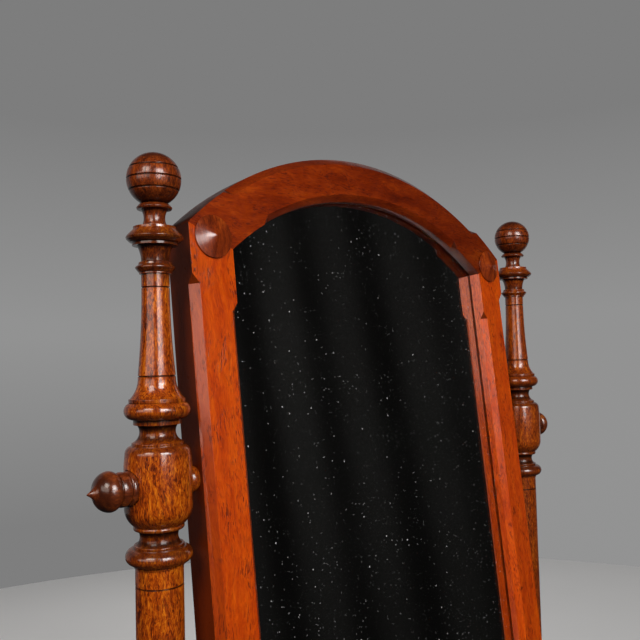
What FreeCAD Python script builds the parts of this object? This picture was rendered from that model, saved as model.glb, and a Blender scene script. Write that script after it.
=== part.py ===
"""Cheval floor mirror: a framed looking glass that tilts between two turned posts.

Millimetres. +Z is up, -Y is the front, and the origin is on the floor, midway between the posts.
Left-hand pieces are modelled, and the right-hand ones are their mirror images.
"""
import FreeCAD, Part
import math
import os

import Sketcher
from FreeCAD import Placement, Rotation, Vector

PARTS_FOLDER = "parts"

# Driving dimensions, in millimetres and degrees.
DIMENSIONS = {
    # stand
    "pivot_height": 1050,
    "post_offset": 340,
    "block_width": 66,
    "block_bottom": 160,
    "block_top": 300,
    "block_chamfer": 5,
    "barrel_radius": 34.2,
    "outer_seat": 30.5,
    "outer_seat_radius": 18,
    "inner_seat": 32,
    "inner_seat_radius": 15,
    "seat_gap": 0.2,
    "score_width": 1.5,
    "score_depth": 1.0,
    "ball_level": 311.6,
    "ball_radius": 28,
    "ball_score_step": 11.8,
    "finial_spigot_radius": 6,
    "finial_spigot_length": 28,
    "pendant_spigot_radius": 8,
    "pendant_spigot_length": 26,
    "stretcher_level": 232,
    "stretcher_tenon_radius": 12,
    "stretcher_tenon_length": 28,
    # feet
    "foot_thickness": 38,
    "foot_dowel_radius": 6,
    "foot_dowel_in_block": 22,
    "foot_dowel_in_foot": 26,
    "foot_dowel_low": 196,
    "foot_dowel_high": 262,
    # swinging frame
    "tilt": 5.87,
    "frame_half_width": 297.25,
    "frame_drop": 750,
    "stile_width": 57,
    "arch_radius": 440,
    "arch_centre_drop": 52.6,
    "frame_front": 25.7,
    "frame_back": 17.9,
    "glass_front": 8.4,
    "glass_thickness": 5,
    "glass_rebate": 10,
    "board_rebate": 16,
    "board_thickness": 6,
    "fit_gap": 0.5,
    "rail_height": 70,
    "tenon_length": 28,
    "tenon_thickness": 13,
    "tenon_front": 6,
    "tenon_low": 12,
    "tenon_high": 52,
    "outer_chamfer": 9,
    "inner_chamfer": 7.7,
    "chamfer_runout": 11,
    "cut_overrun": 2,
    "stile_outer_stop": 216,
    "stile_inner_stop": 185.5,
    "foot_outer_stop": 115,
    "foot_inner_stop": 150,
    "arch_outer_stop": 34.2,
    "arch_inner_stop": 29.8,
    "arch_dowel_radius": 4,
    "arch_dowel_half": 18,
    "arch_dowel_inner": 25,
    "arch_dowel_outer": 47,
    "arch_dowel_depth": 4,
    # glass blocks and screws
    "glass_block_length": 40,
    "glass_block_width": 8,
    "side_block_low": 150,
    "side_block_high": 930,
    "side_block_count": 4,
    "block_step": 150,
    "crown_block_angle": 22,
    "crown_block_relief": 0.8,
    "screw_head_radius": 3.4,
    "screw_radius": 1.5,
    "screw_head_height": 2,
    "screw_length": 14,
    # roundels
    "roundel_offset": 266.5,
    "roundel_level": 258,
    "lower_roundel_rise": 34,
    "roundel_radius": 24.2,
    "roundel_height": 8.6,
    "roundel_neck_radius": 22.6,
    "roundel_neck_height": 1,
    "roundel_rim_height": 1.2,
    "roundel_spigot_radius": 5,
    "roundel_spigot_length": 12,
    # clamps
    "bolt_radius": 4,
    "running_clearance": 0.05,
    "bush_radius": 6,
    "boss_hole_radius": 4.5,
    "boss_radius": 12.6,
    "boss_dome": 1.7,
    "socket_radius": 6.5,
    "socket_flange_radius": 11,
    "socket_flange_thickness": 2.5,
    "socket_length": 26,
    "bolt_in_stile": 24,
    "bolt_in_knob": 22,
    "collar_radius": 16.1,
    "collar_round": 1.2,
    "collar_thickness": 6.3,
    "collar_hole_radius": 4.6,
}

# Turned profiles, from the top down: name, height over the pivot, radius, and the rise of the arc to the
# next station (0 is a straight line, more is a bead, less is a cove).
POST_STATIONS = (
    ("cap", 262, 21.7, 0),
    ("cap_foot", 259.5, 21.7, 0),
    ("collar_bead", 259.5, 24.5, 5),
    ("collar_bead_foot", 245.5, 24.5, 0),
    ("collar_fillet", 245.5, 23, 0),
    ("collar_fillet_foot", 242.5, 23, 0),
    ("bell", 242.5, 18, -0.9),
    ("bell_foot", 226.5, 14, 0),
    ("ring_fillet", 225.5, 16.5, 0),
    ("ring_fillet_foot", 222.8, 16.5, 0),
    ("ring", 222.8, 17.3, 3),
    ("ring_foot", 215.3, 17.3, 0),
    ("ring_step", 215.3, 16.3, 0),
    ("ring_step_foot", 213.3, 16.3, 0),
    ("column", 213.3, 14.4, 0),
    ("column_waist", 199.6, 14.3, -1.1),
    ("column_flare", 109.3, 19, -2.3),
    ("column_foot", 86.5, 27.4, 0),
    ("torus_fillet", 86.5, 28.6, 0),
    ("torus_fillet_foot", 83, 28.6, 0),
    ("torus", 83, 27.5, 6),
    ("torus_foot", 66, 27.5, 0),
    ("torus_step", 66, 24.3, 0),
    ("torus_step_foot", 60.5, 24.3, 0),
    ("cove", 60.5, 20.8, -4.3),
    ("cove_foot", 43, 24.6, 0),
    ("barrel_fillet", 42.3, 26.2, 0),
    ("barrel_fillet_foot", 39.5, 26.2, 0),
    ("barrel_shoulder", 39.5, 27.2, 1.7),
    ("barrel_shoulder_foot", 31.5, 33.1, 0),
    ("barrel_top", 20, 34.2, 0),
    ("barrel_base", -24, 34.2, 1.9),
    ("barrel_foot", -40, 25.2, 0),
    ("under_bead", -40, 24.4, 1.2),
    ("under_bead_foot", -44.5, 24.4, 0),
    ("lower_cove", -44.5, 21.4, -2.8),
    ("lower_cove_foot", -59.3, 22.6, 0),
    ("lower_fillet", -59.3, 25, 0),
    ("lower_fillet_foot", -62.4, 25, 0),
    ("lower_torus", -62.4, 27, 6.7),
    ("lower_torus_foot", -78, 27, 0),
    ("lower_step", -78, 25.3, 0),
    ("lower_step_foot", -81, 25.3, 0),
    ("shaft", -81, 24.1, 0),
    ("shaft_score", -99.6, 24.1, 0),
    ("foot_score", -560, 24.1, 0),
    ("shaft_foot", -572, 24.1, 0),
    ("base_fillet", -572, 25.8, 0),
    ("base_fillet_foot", -575, 25.8, 0),
    ("base_torus", -575, 27.2, 6.7),
    ("base_torus_foot", -591, 27.2, 0),
    ("base_step", -591, 25, 0),
    ("base_step_foot", -594.5, 25, 0),
    ("base_cove", -594.5, 22, -4),
    ("base_cove_foot", -612, 24.5, 0),
    ("vase_fillet", -612, 27, 0),
    ("vase_fillet_foot", -615.5, 27, 0),
    ("vase", -615.5, 27.6, 3),
    ("vase_belly", -641, 33, 0),
    ("vase_foot", -716, 26.4, 0),
    ("vase_step", -716, 24.4, 0),
    ("vase_cove", -719, 24.4, -2.6),
    ("vase_cove_foot", -734, 28.2, 0),
    ("plinth_ring", -734, 30, 2.3),
    ("plinth_ring_foot", -746, 30, 0),
    ("plinth_neck", -750, 30, 0),
)
SCORED_STATIONS = ("column_waist", "column_flare", "shaft_score", "foot_score")
FINIAL_STATIONS = (
    ("finial_seat", 262, 13.2, 0),
    ("finial_neck", 264.2, 12.4, -2.1),
    ("finial_neck_top", 280, 13.6, 0),
    ("finial_ring", 280, 16.1, 2.3),
    ("finial_ring_top", 285.2, 16.1, 0),
    ("ball_foot", 286, 11.34, 0),
)
# Under the block: name, height over the floor, radius, rise of the arc to the next station.
PENDANT_STATIONS = (
    ("drop_plate", 160, 28, 1.4),
    ("drop_plate_foot", 154, 28, 0),
    ("drop_cove", 154, 24.5, -4.6),
    ("drop_cove_foot", 138, 13.5, 0),
    ("drop_fillet", 138, 16, 0),
    ("drop_fillet_foot", 135, 16, 0),
    ("drop_ball", 135, 12, 11.2),
    ("drop_ball_foot", 102, 9, 0),
    ("drop_button", 102, 6.5, 2.4),
    ("drop_tip", 94.5, 0, 0),
)
# Half of the stretcher: name, distance from the middle, radius, rise of the arc to the next station.
STRETCHER_STATIONS = (
    ("mid_ball", 0, 27, 2.9),
    ("mid_ball_end", 21, 16, 0),
    ("mid_fillet", 21, 20.5, 0),
    ("mid_fillet_end", 25, 20.5, 0),
    ("swell", 25, 18, 0),
    ("swell_end", 256, 14.5, 0),
    ("end_fillet", 256, 18.5, 0),
    ("end_fillet_end", 259.5, 18.5, 0),
    ("end_torus", 259.5, 18, 6.2),
    ("end_torus_end", 274.5, 18, 0),
    ("end_step", 274.5, 16.5, 0),
    ("end_cove", 278, 16.5, -2.6),
    ("end_cove_end", 294, 20, 0),
    ("end_collar", 294, 22, 1.6),
    ("end_collar_end", 303, 22, 0),
    ("end_shoulder", 307, 22, 0),
)
# Clamp knob: name, distance out from its flat inner face, radius, rise of the arc to the next station.
KNOB_STATIONS = (
    ("knob_face", 0, 15.6, 0),
    ("knob_ring", 0.6, 16.2, 1),
    ("knob_ring_end", 9.4, 16.2, 0),
    ("knob_groove", 9.8, 15.2, 0),
    ("knob_groove_end", 10.8, 15.2, 0),
    ("knob_bulb", 11.2, 17, 0.8),
    ("knob_crest", 18.3, 19.8, 2.9),
    ("knob_ogee", 31.8, 8, -0.8),
    ("knob_tip", 40.1, 0.7, 0),
)
# Side outline of a swept foot: name, distance out from the post's axis, height, rise of the arc ahead.
FOOT_OUTLINE = (
    ("foot_root_low", 33, 172, -9),
    ("foot_belly", 128, 112, 13),
    ("foot_pad_heel", 214, 0, 0),
    ("foot_pad_tip", 268, 0, -7),
    ("foot_toe", 270, 28, -3),
    ("foot_instep", 246, 35, 17),
    ("foot_knee", 150, 166, -17),
    ("foot_root_high", 33, 286, 0),
)

document = FreeCAD.newDocument("ChevalMirror")
sheet = document.addObject("Spreadsheet::Sheet", "Dims")
nodes = []


class Size:
    """A length together with the spreadsheet expression that gives it."""

    def __init__(self, text, value):
        self.text = text
        self.value = value

    def join(self, sign, other, value):
        return Size("(%s %s %s)" % (self.text, sign, other.text), value)

    def __add__(self, other):
        other = as_size(other)
        return self.join("+", other, self.value + other.value)

    def __sub__(self, other):
        other = as_size(other)
        return self.join("-", other, self.value - other.value)

    def __mul__(self, other):
        other = as_size(other)
        return self.join("*", other, self.value * other.value)

    def __truediv__(self, other):
        other = as_size(other)
        return self.join("/", other, self.value / other.value)

    def __neg__(self):
        return Size("(-1 * %s)" % self.text, -self.value)

    def root(self):
        return Size("sqrt(%s)" % self.text, math.sqrt(self.value))


def as_size(number):
    return number if isinstance(number, Size) else Size(repr(float(number)), float(number))


def size(alias):
    return Size("Dims." + alias, float(sheet.get(alias)))


def fill_sheet():
    cells = dict(DIMENSIONS)
    tables = (POST_STATIONS, FINIAL_STATIONS, PENDANT_STATIONS, STRETCHER_STATIONS, KNOB_STATIONS,
              FOOT_OUTLINE)
    for table in tables:
        for name, place, radius, rise in table:
            cells[name + "_place"] = place
            cells[name + "_reach"] = radius
            if rise:
                cells[name + "_rise"] = rise
    for row, (alias, value) in enumerate(cells.items(), start=1):
        sheet.set("A%d" % row, alias)
        sheet.set("B%d" % row, str(value))
        sheet.setAlias("B%d" % row, alias)
    document.recompute()


def bind(thing, name, length):
    thing.setExpression(name, length.text)


# Sketches and features


def origin_feature(body, role):
    return next(feature for feature in body.Origin.OriginFeatures if feature.Role == role)


def arc_middle(start, end, rise):
    """The middle point of the arc that stands `rise` to the left of the way from start to end."""
    way = end - start
    left = Vector(-way.y, way.x, 0).normalize()
    return (start + end) * 0.5 + left * rise


def draw_in(body, name, role, corners, offset=None):
    """A closed sketch on one of a body's origin planes, or that far off it."""
    sketch = body.newObject("Sketcher::SketchObject", name)
    sketch.AttachmentSupport = [(origin_feature(body, role), "")]
    sketch.MapMode = "FlatFace"
    if offset is not None:
        bind(sketch, "AttachmentOffset.Base.z", offset)
    fill_sketch(sketch, corners)
    return sketch


def fill_sketch(sketch, corners):
    """Draws a closed outline. A corner is (x, y, rise of the arc to the next corner)."""
    points = [Vector(x.value, y.value, 0) for x, y, rise in corners]
    starts, ends = [], []
    for index, (x, y, rise) in enumerate(corners):
        start, end = points[index], points[(index + 1) % len(points)]
        if rise is None:
            edge = Part.LineSegment(start, end)
        elif rise.value < 0:
            edge = Part.Arc(start, arc_middle(start, end, rise.value), end)
        else:
            # A sketch holds every arc anticlockwise.
            edge = Part.Arc(end, arc_middle(start, end, rise.value), start)
        sketch.addGeometry(edge, False)
        forward = sketch.Geometry[index].StartPoint.distanceToPoint(start) < 1e-6
        starts.append((index, 1 if forward else 2))
        ends.append((index, 2 if forward else 1))
    constraints, bound = [], []

    def add(constraint, length=None):
        constraints.append(constraint)
        if length is not None:
            bound.append((len(constraints) - 1, length))

    for index, (x, y, rise) in enumerate(corners):
        add(Sketcher.Constraint("Coincident", *ends[index - 1], *starts[index]))
        for kind, axis, length in (("DistanceX", -2, x), ("DistanceY", -1, y)):
            if abs(length.value) < 1e-9:
                add(Sketcher.Constraint("PointOnObject", *starts[index], axis))
            elif length.value > 0:
                add(Sketcher.Constraint(kind, -1, 1, *starts[index], length.value), length)
            else:
                add(Sketcher.Constraint(kind, *starts[index], -1, 1, -length.value), -length)
        if rise is not None:
            next_x, next_y = corners[(index + 1) % len(corners)][:2]
            chord = (next_x - x) * (next_x - x) + (next_y - y) * (next_y - y)
            high = rise if rise.value > 0 else -rise
            radius = (chord / 4 + high * high) / (high * 2)
            add(Sketcher.Constraint("Radius", index, radius.value), radius)
    sketch.addConstraint(constraints)
    for index, length in bound:
        sketch.setExpression("Constraints[%d]" % index, length.text)


def new_body(label):
    body = document.addObject("PartDesign::Body", label)
    body.Label = label
    return body


def turn(name, corners):
    """A turning: an outline of (radius, height) corners carried round the Z axis."""
    sketch = document.addObject("Sketcher::SketchObject", name + "_profile")
    sketch.Placement.Rotation = Rotation(Vector(1, 0, 0), 90)
    fill_sketch(sketch, corners)
    turning = document.addObject("Part::Revolution", name)
    turning.Source = sketch
    turning.Axis = Vector(0, 0, 1)
    turning.Angle = 360
    turning.Solid = True
    return turning


def pad(body, sketch, forward, backward):
    """Pads both ways from the sketch's plane."""
    feature = body.newObject("PartDesign::Pad", sketch.Name + "Pad")
    feature.Profile = sketch
    feature.SideType = "Two sides"
    bind(feature, "Length", forward)
    bind(feature, "Length2", backward)
    return feature


def station(name, base=None, flip=False):
    """(radius, height) of a turned station, and the rise of the arc ahead of it."""
    place = size(name + "_place")
    if base is not None:
        place = base + place
    rise = None
    if sheet.getCellFromAlias(name + "_rise"):
        rise = size(name + "_rise")
        if flip:
            rise = -rise
    return size(name + "_reach"), place, rise


def closed_on_axis(corners):
    """Closes a turned outline with two points on its axis."""
    first, last = corners[0], corners[-1]
    outline = [(as_size(0), first[1], None)] + corners
    if abs(last[0].value) > 1e-9:
        outline.append((as_size(0), last[1], None))
    return outline


def scored(corner, way):
    """A fine V-shaped score line at a corner, met going up (way 1) or down (way -1)."""
    radius, place, rise = corner
    half = size("score_width") / 2 * way
    return [(radius, place - half, None), (radius - size("score_depth"), place, None),
            (radius, place + half, rise)]


# Whole sub-parts


def keep(thing, label):
    thing.Label = label
    nodes.append(thing)
    return thing


def cylinder(name, radius, length, base, direction):
    tube = document.addObject("Part::Cylinder", name)
    bind(tube, "Radius", radius)
    bind(tube, "Height", length)
    tube.Placement = Placement(base, Rotation(Vector(0, 0, 1), direction))
    return tube


def cut(name, base, tools):
    """The base with each tool cut away in turn."""
    piece = base
    for index, tool in enumerate(tools, start=1):
        rest = document.addObject("Part::Cut", name if index == len(tools) else "%s_cut%d" % (name, index))
        rest.Base = piece
        rest.Tool = tool
        document.recompute()
        if rest.Shape.isNull() or rest.Shape.Volume >= piece.Shape.Volume:
            raise RuntimeError("%s cuts nothing from %s" % (tool.Name, name))
        piece = rest
    return piece


def reflect(source, label, normal):
    """The mirror image of a piece through the middle of the object."""
    image = document.addObject("Part::Mirroring", label)
    image.Source = source
    image.Base = Vector(0, 0, 0)
    image.Normal = normal
    return keep(image, label)


def pair(source, label):
    """Keeps a left-hand piece, and its right-hand image."""
    keep(source, "left_" + label)
    reflect(source, "right_" + label, Vector(1, 0, 0))


def ready_shape(name, shape):
    feature = document.addObject("Part::Feature", name)
    feature.Shape = shape
    return feature


def post_axis(place=0.0):
    return Vector(-size("post_offset").value, 0, place)


def pivot_line(outward):
    """A point on the pivot's axis, `outward` of the left post's own axis."""
    return Vector(-size("post_offset").value - outward, 0, size("pivot_height").value)


def make_posts():
    level = size("pivot_height")
    outline = []
    for row in POST_STATIONS:
        corner = station(row[0], level)
        outline += scored(corner, -1) if row[0] in SCORED_STATIONS else [corner]
    turning = turn("post_turning", closed_on_axis(outline))
    half = size("block_width") / 2
    corner = half - size("block_chamfer")
    ring = [(half, corner), (corner, half), (-corner, half), (-half, corner),
            (-half, -corner), (-corner, -half), (corner, -half), (half, -corner)]
    block = new_body("post_block")
    square = draw_in(block, "BlockOutline", "XY_Plane", [(x, y, None) for x, y in ring], size("block_bottom"))
    pad(block, square, size("block_top") - size("block_bottom"), as_size(0))
    stick = document.addObject("Part::Fuse", "post_stick")
    stick.Base = turning
    stick.Tool = block
    stick.Placement.Base = post_axis()
    document.recompute()
    outward, inward, up, down = Vector(-1, 0, 0), Vector(1, 0, 0), Vector(0, 0, 1), Vector(0, 0, -1)
    reach = size("barrel_radius") * 2
    outer, inner = size("outer_seat").value, size("inner_seat").value
    top = post_axis((level + size("cap_place")).value)
    shoulder = Vector(-size("end_shoulder_place").value, 0, size("stretcher_level").value)
    tools = [
        cylinder("outer_seat", size("outer_seat_radius"), reach, pivot_line(outer), outward),
        cylinder("inner_seat", size("inner_seat_radius"), reach, pivot_line(-inner), inward),
        cylinder("bush_bore", size("bush_radius"), reach * 2, pivot_line(reach.value), inward),
        cylinder("finial_bore", size("finial_spigot_radius"), size("finial_spigot_length"), top, down),
        cylinder("pendant_bore", size("pendant_spigot_radius"), size("pendant_spigot_length"),
                 post_axis(size("block_bottom").value), up),
        cylinder("stretcher_bore", size("stretcher_tenon_radius"), size("stretcher_tenon_length"),
                 shoulder, outward),
    ]
    tools += foot_dowels(("front", "back"), "dowel_bore")
    pair(cut("left_post", stick, tools), "post")


def foot_dowels(ends, name):
    """Dowels of the left-hand feet, from inside the block out into each foot."""
    dowels = []
    face = size("block_width") / 2
    length = size("foot_dowel_in_block") + size("foot_dowel_in_foot")
    start = face - size("foot_dowel_in_block")
    for end in ends:
        sign = -1 if end == "front" else 1
        for level in ("low", "high"):
            base = post_axis(size("foot_dowel_" + level).value) + Vector(0, sign * start.value, 0)
            dowels.append(cylinder("%s_%s_%s" % (name, end, level), size("foot_dowel_radius"), length,
                                   base, Vector(0, sign, 0)))
    return dowels


def make_finials():
    level = size("pivot_height")
    stations = [station(row[0], level, flip=True) for row in FINIAL_STATIONS]
    ball = size("ball_radius")
    centre = level + size("ball_level")
    step = size("ball_score_step")
    half = size("score_width") / 2

    def on_ball(lift):
        return (ball * ball - lift * lift).root(), centre + lift

    def along_ball(start, end):
        chord = (end[0] - start[0]) * (end[0] - start[0]) + (end[1] - start[1]) * (end[1] - start[1])
        return -(ball - (ball * ball - chord / 4).root())

    spigot = size("finial_spigot_radius")
    seat = stations[0][1]
    foot = seat - size("finial_spigot_length")
    outline = [(as_size(0), foot, None), (spigot, foot, None), (spigot, seat, None)]
    outline += stations[:-1]
    start = stations[-1]
    for lift in (-step, as_size(0), step):
        below, above = on_ball(lift - half), on_ball(lift + half)
        radius, place = on_ball(lift)
        outline.append((start[0], start[1], along_ball(start, below)))
        outline += [(below[0], below[1], None), (radius - size("score_depth"), place, None)]
        start = above
    top = (as_size(0), centre + ball, None)
    outline += [(start[0], start[1], along_ball(start, top)), top]
    finial = turn("left_ball_finial", outline)
    finial.Placement.Base = post_axis()
    pair(finial, "ball_finial")


def make_pendants():
    stations = [station(row[0]) for row in PENDANT_STATIONS]
    spigot = size("pendant_spigot_radius")
    plate = stations[0][1]
    top = plate + size("pendant_spigot_length")
    outline = [(as_size(0), top, None), (spigot, top, None), (spigot, plate, None)] + stations
    pendant = turn("left_pendant", outline)
    pendant.Placement.Base = post_axis()
    pair(pendant, "pendant")


def make_stretcher():
    half = [station(row[0], flip=True) for row in STRETCHER_STATIONS]
    tenon = size("stretcher_tenon_radius")
    shoulder = half[-1][1]
    end = shoulder + size("stretcher_tenon_length")
    lower = [(half[index][0], -half[index][1], half[index - 1][2]) for index in range(len(half) - 1, 0, -1)]
    outline = [(as_size(0), -end, None), (tenon, -end, None), (tenon, -shoulder, None)]
    outline += lower[:-1] + [(lower[-1][0], lower[-1][1], None)]
    outline += half
    outline += [(tenon, shoulder, None), (tenon, end, None), (as_size(0), end, None)]
    stretcher = turn("stretcher", outline)
    lying = Rotation(Vector(0, 1, 0), 90)
    stretcher.Placement = Placement(Vector(0, 0, size("stretcher_level").value), lying)
    keep(stretcher, "stretcher")


def make_feet():
    body = new_body("foot_body")
    corners = []
    for name, place, reach, rise in FOOT_OUTLINE:
        bend = size(name + "_rise") if rise else None
        corners.append((size(name + "_place"), size(name + "_reach"), bend))
    sketch = draw_in(body, "FootOutline", "YZ_Plane", corners)
    half = size("foot_thickness") / 2
    pad(body, sketch, half, half)
    body.Placement.Base = post_axis()
    document.recompute()
    back = cut("left_back_foot", body, foot_dowels(("back",), "foot_bore"))
    keep(back, "left_back_foot")
    front = reflect(back, "left_front_foot", Vector(0, 1, 0))
    reflect(back, "right_back_foot", Vector(1, 0, 0))
    reflect(front, "right_front_foot", Vector(1, 0, 0))
    group = document.addObject("Part::Compound", "left_dowels")
    group.Links = foot_dowels(("front", "back"), "dowel")
    other = document.addObject("Part::Mirroring", "right_dowels")
    other.Source = group
    other.Normal = Vector(1, 0, 0)
    both = document.addObject("Part::Compound", "foot_dowels")
    both.Links = [group, other]
    keep(both, "foot_dowels")


# The swinging frame is drawn upright, with its bottom edge at height 0, then hung at its tilt.


def hang(thing):
    """Moves a piece of the frame from the drawing position to its place on the pivots."""
    pivot = Vector(0, 0, size("pivot_height").value)
    turned = Placement(pivot, Rotation(Vector(1, 0, 0), -size("tilt").value))
    lowered = Placement(Vector(0, 0, -size("frame_drop").value), Rotation())
    thing.Placement = turned * lowered * thing.Placement
    return thing


def joint_level(x):
    """Height of the sloping arch joint at a distance x from the middle."""
    drop, radius = size("frame_drop"), size("arch_radius")
    centre = drop - size("arch_centre_drop")
    outer = size("frame_half_width")
    inner = outer - size("stile_width")
    inner_radius = radius - size("stile_width")
    outer_level = centre + (radius * radius - outer * outer).root()
    inner_level = centre + (inner_radius * inner_radius - inner * inner).root()
    return inner_level + (outer_level - inner_level) * (x - inner) / size("stile_width")


def arch_rise(half_chord, radius):
    return radius - (radius * radius - half_chord * half_chord).root()


def frame_layers():
    """Front lip, glass rebate and board rebate: (front, back, width lost to the rebate)."""
    front, back = -size("frame_front"), size("frame_back")
    glass = -size("glass_front")
    board = back - size("board_thickness")
    return ((front, glass, as_size(0)), (glass, board, size("glass_rebate")),
            (board, back, size("board_rebate")))


def layered_body(name, outline_of):
    """A body padded in three layers, each with its own outline."""
    body = new_body(name)
    for index, (front, back, lost) in enumerate(frame_layers()):
        sketch = draw_in(body, "%s_layer%d" % (name, index), "XZ_Plane", outline_of(lost))
        layer = body.newObject("PartDesign::Pad", sketch.Name + "_pad")
        layer.Profile = sketch
        bind(sketch, "AttachmentOffset.Base.z", -back)
        bind(layer, "Length", back - front)
    document.recompute()
    return body


def stile_outline(lost):
    outer = size("frame_half_width")
    inner = outer - size("stile_width") + lost
    zero = as_size(0)
    return [(-outer, zero, None), (-inner, zero, None), (-inner, joint_level(inner), None),
            (-outer, joint_level(outer), None)]


def arch_outline(lost):
    outer = size("frame_half_width")
    radius = size("arch_radius")
    inner = outer - size("stile_width") + lost
    inner_radius = radius - size("stile_width") + lost
    return [(-inner, joint_level(inner), arch_rise(inner, inner_radius)), (inner, joint_level(inner), None),
            (outer, joint_level(outer), -arch_rise(outer, radius)), (-outer, joint_level(outer), None)]


def rail_outline(lost):
    shoulder = size("frame_half_width") - size("stile_width") + lost
    top = size("rail_height") - lost
    zero = as_size(0)
    return [(-shoulder, zero, None), (shoulder, zero, None), (shoulder, top, None), (-shoulder, top, None)]


def arched_plate(name, side, bottom, corner_level, radius, front, back):
    """A flat plate with an arched top."""
    body = new_body(name)
    outline = [(-side, bottom, None), (side, bottom, None), (side, corner_level, -arch_rise(side, radius)),
               (-side, corner_level, None)]
    sketch = draw_in(body, name + "_outline", "XZ_Plane", outline)
    plate = body.newObject("PartDesign::Pad", name + "_pad")
    plate.Profile = sketch
    bind(sketch, "AttachmentOffset.Base.z", -back)
    bind(plate, "Length", back - front)
    document.recompute()
    return body


def box(name, x, y, z, low):
    block = document.addObject("Part::Box", name)
    for prop, length in (("Length", x), ("Width", y), ("Height", z)):
        bind(block, prop, length)
    block.Placement.Base = low
    return block


def corner_wire(arris, along_face, along_side, leg):
    """The triangle that a chamfer of this leg takes off an arris, run a little past both faces."""
    spare = size("cut_overrun").value
    far = leg + spare
    points = [arris + along_face * far - along_side * spare, arris - along_face * spare + along_side * far,
              arris - (along_face + along_side) * spare]
    return Part.makePolygon(points + points[:1])


def straight_chamfer(name, x, inward, low, high, leg):
    """Cuts the front arris at x between two stops, running out over a short ramp at each end."""
    front = -size("frame_front").value
    runout = size("chamfer_runout").value
    face, side = Vector(inward, 0, 0), Vector(0, 1, 0)
    stages = ((low, 0.0), (low + runout, leg), (high - runout, leg), (high, 0.0))
    wires = [corner_wire(Vector(x, front, z), face, side, depth) for z, depth in stages]
    return ready_shape(name, Part.makeLoft(wires, True, True))


def arched_chamfer(name, radius, inward, stop, leg):
    """Cuts the front arris of the arch between two stops, given by their angle from the crown."""
    centre = Vector(0, 0, (size("frame_drop") - size("arch_centre_drop")).value)
    front = -size("frame_front").value
    runout = math.degrees(size("chamfer_runout").value / radius)

    def wire(angle, depth):
        out = Vector(math.sin(math.radians(angle)), 0, math.cos(math.radians(angle)))
        arris = centre + out * radius + Vector(0, front, 0)
        return corner_wire(arris, out * inward, Vector(0, 1, 0), depth)

    full = stop - runout
    middle = Part.Face(wire(-full, leg)).revolve(centre, Vector(0, 1, 0), 2 * full)
    ends = [Part.makeLoft([wire(way * full, leg), wire(way * stop, 0.0)], True, True) for way in (-1, 1)]
    return ready_shape(name, middle.fuse(ends))


def arch_dowels(name):
    """Dowels square across the sloping arch joint of the left stile."""
    inner = size("frame_half_width") - size("stile_width")
    start = Vector(-inner.value, 0, joint_level(inner).value)
    end = Vector(-size("frame_half_width").value, 0, joint_level(size("frame_half_width")).value)
    along = (end - start).normalize()
    across = Vector(-along.z, 0, along.x)
    half = size("arch_dowel_half")
    dowels = []
    for index, reach in enumerate(("arch_dowel_inner", "arch_dowel_outer")):
        middle = start + along * size(reach).value + Vector(0, -size("arch_dowel_depth").value, 0)
        dowels.append(cylinder("%s%d" % (name, index), size("arch_dowel_radius"), half + half,
                               middle - across * half.value, across))
    return dowels


def roundel_seat(level):
    return Vector(-size("roundel_offset").value, -size("frame_front").value, level.value)


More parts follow.
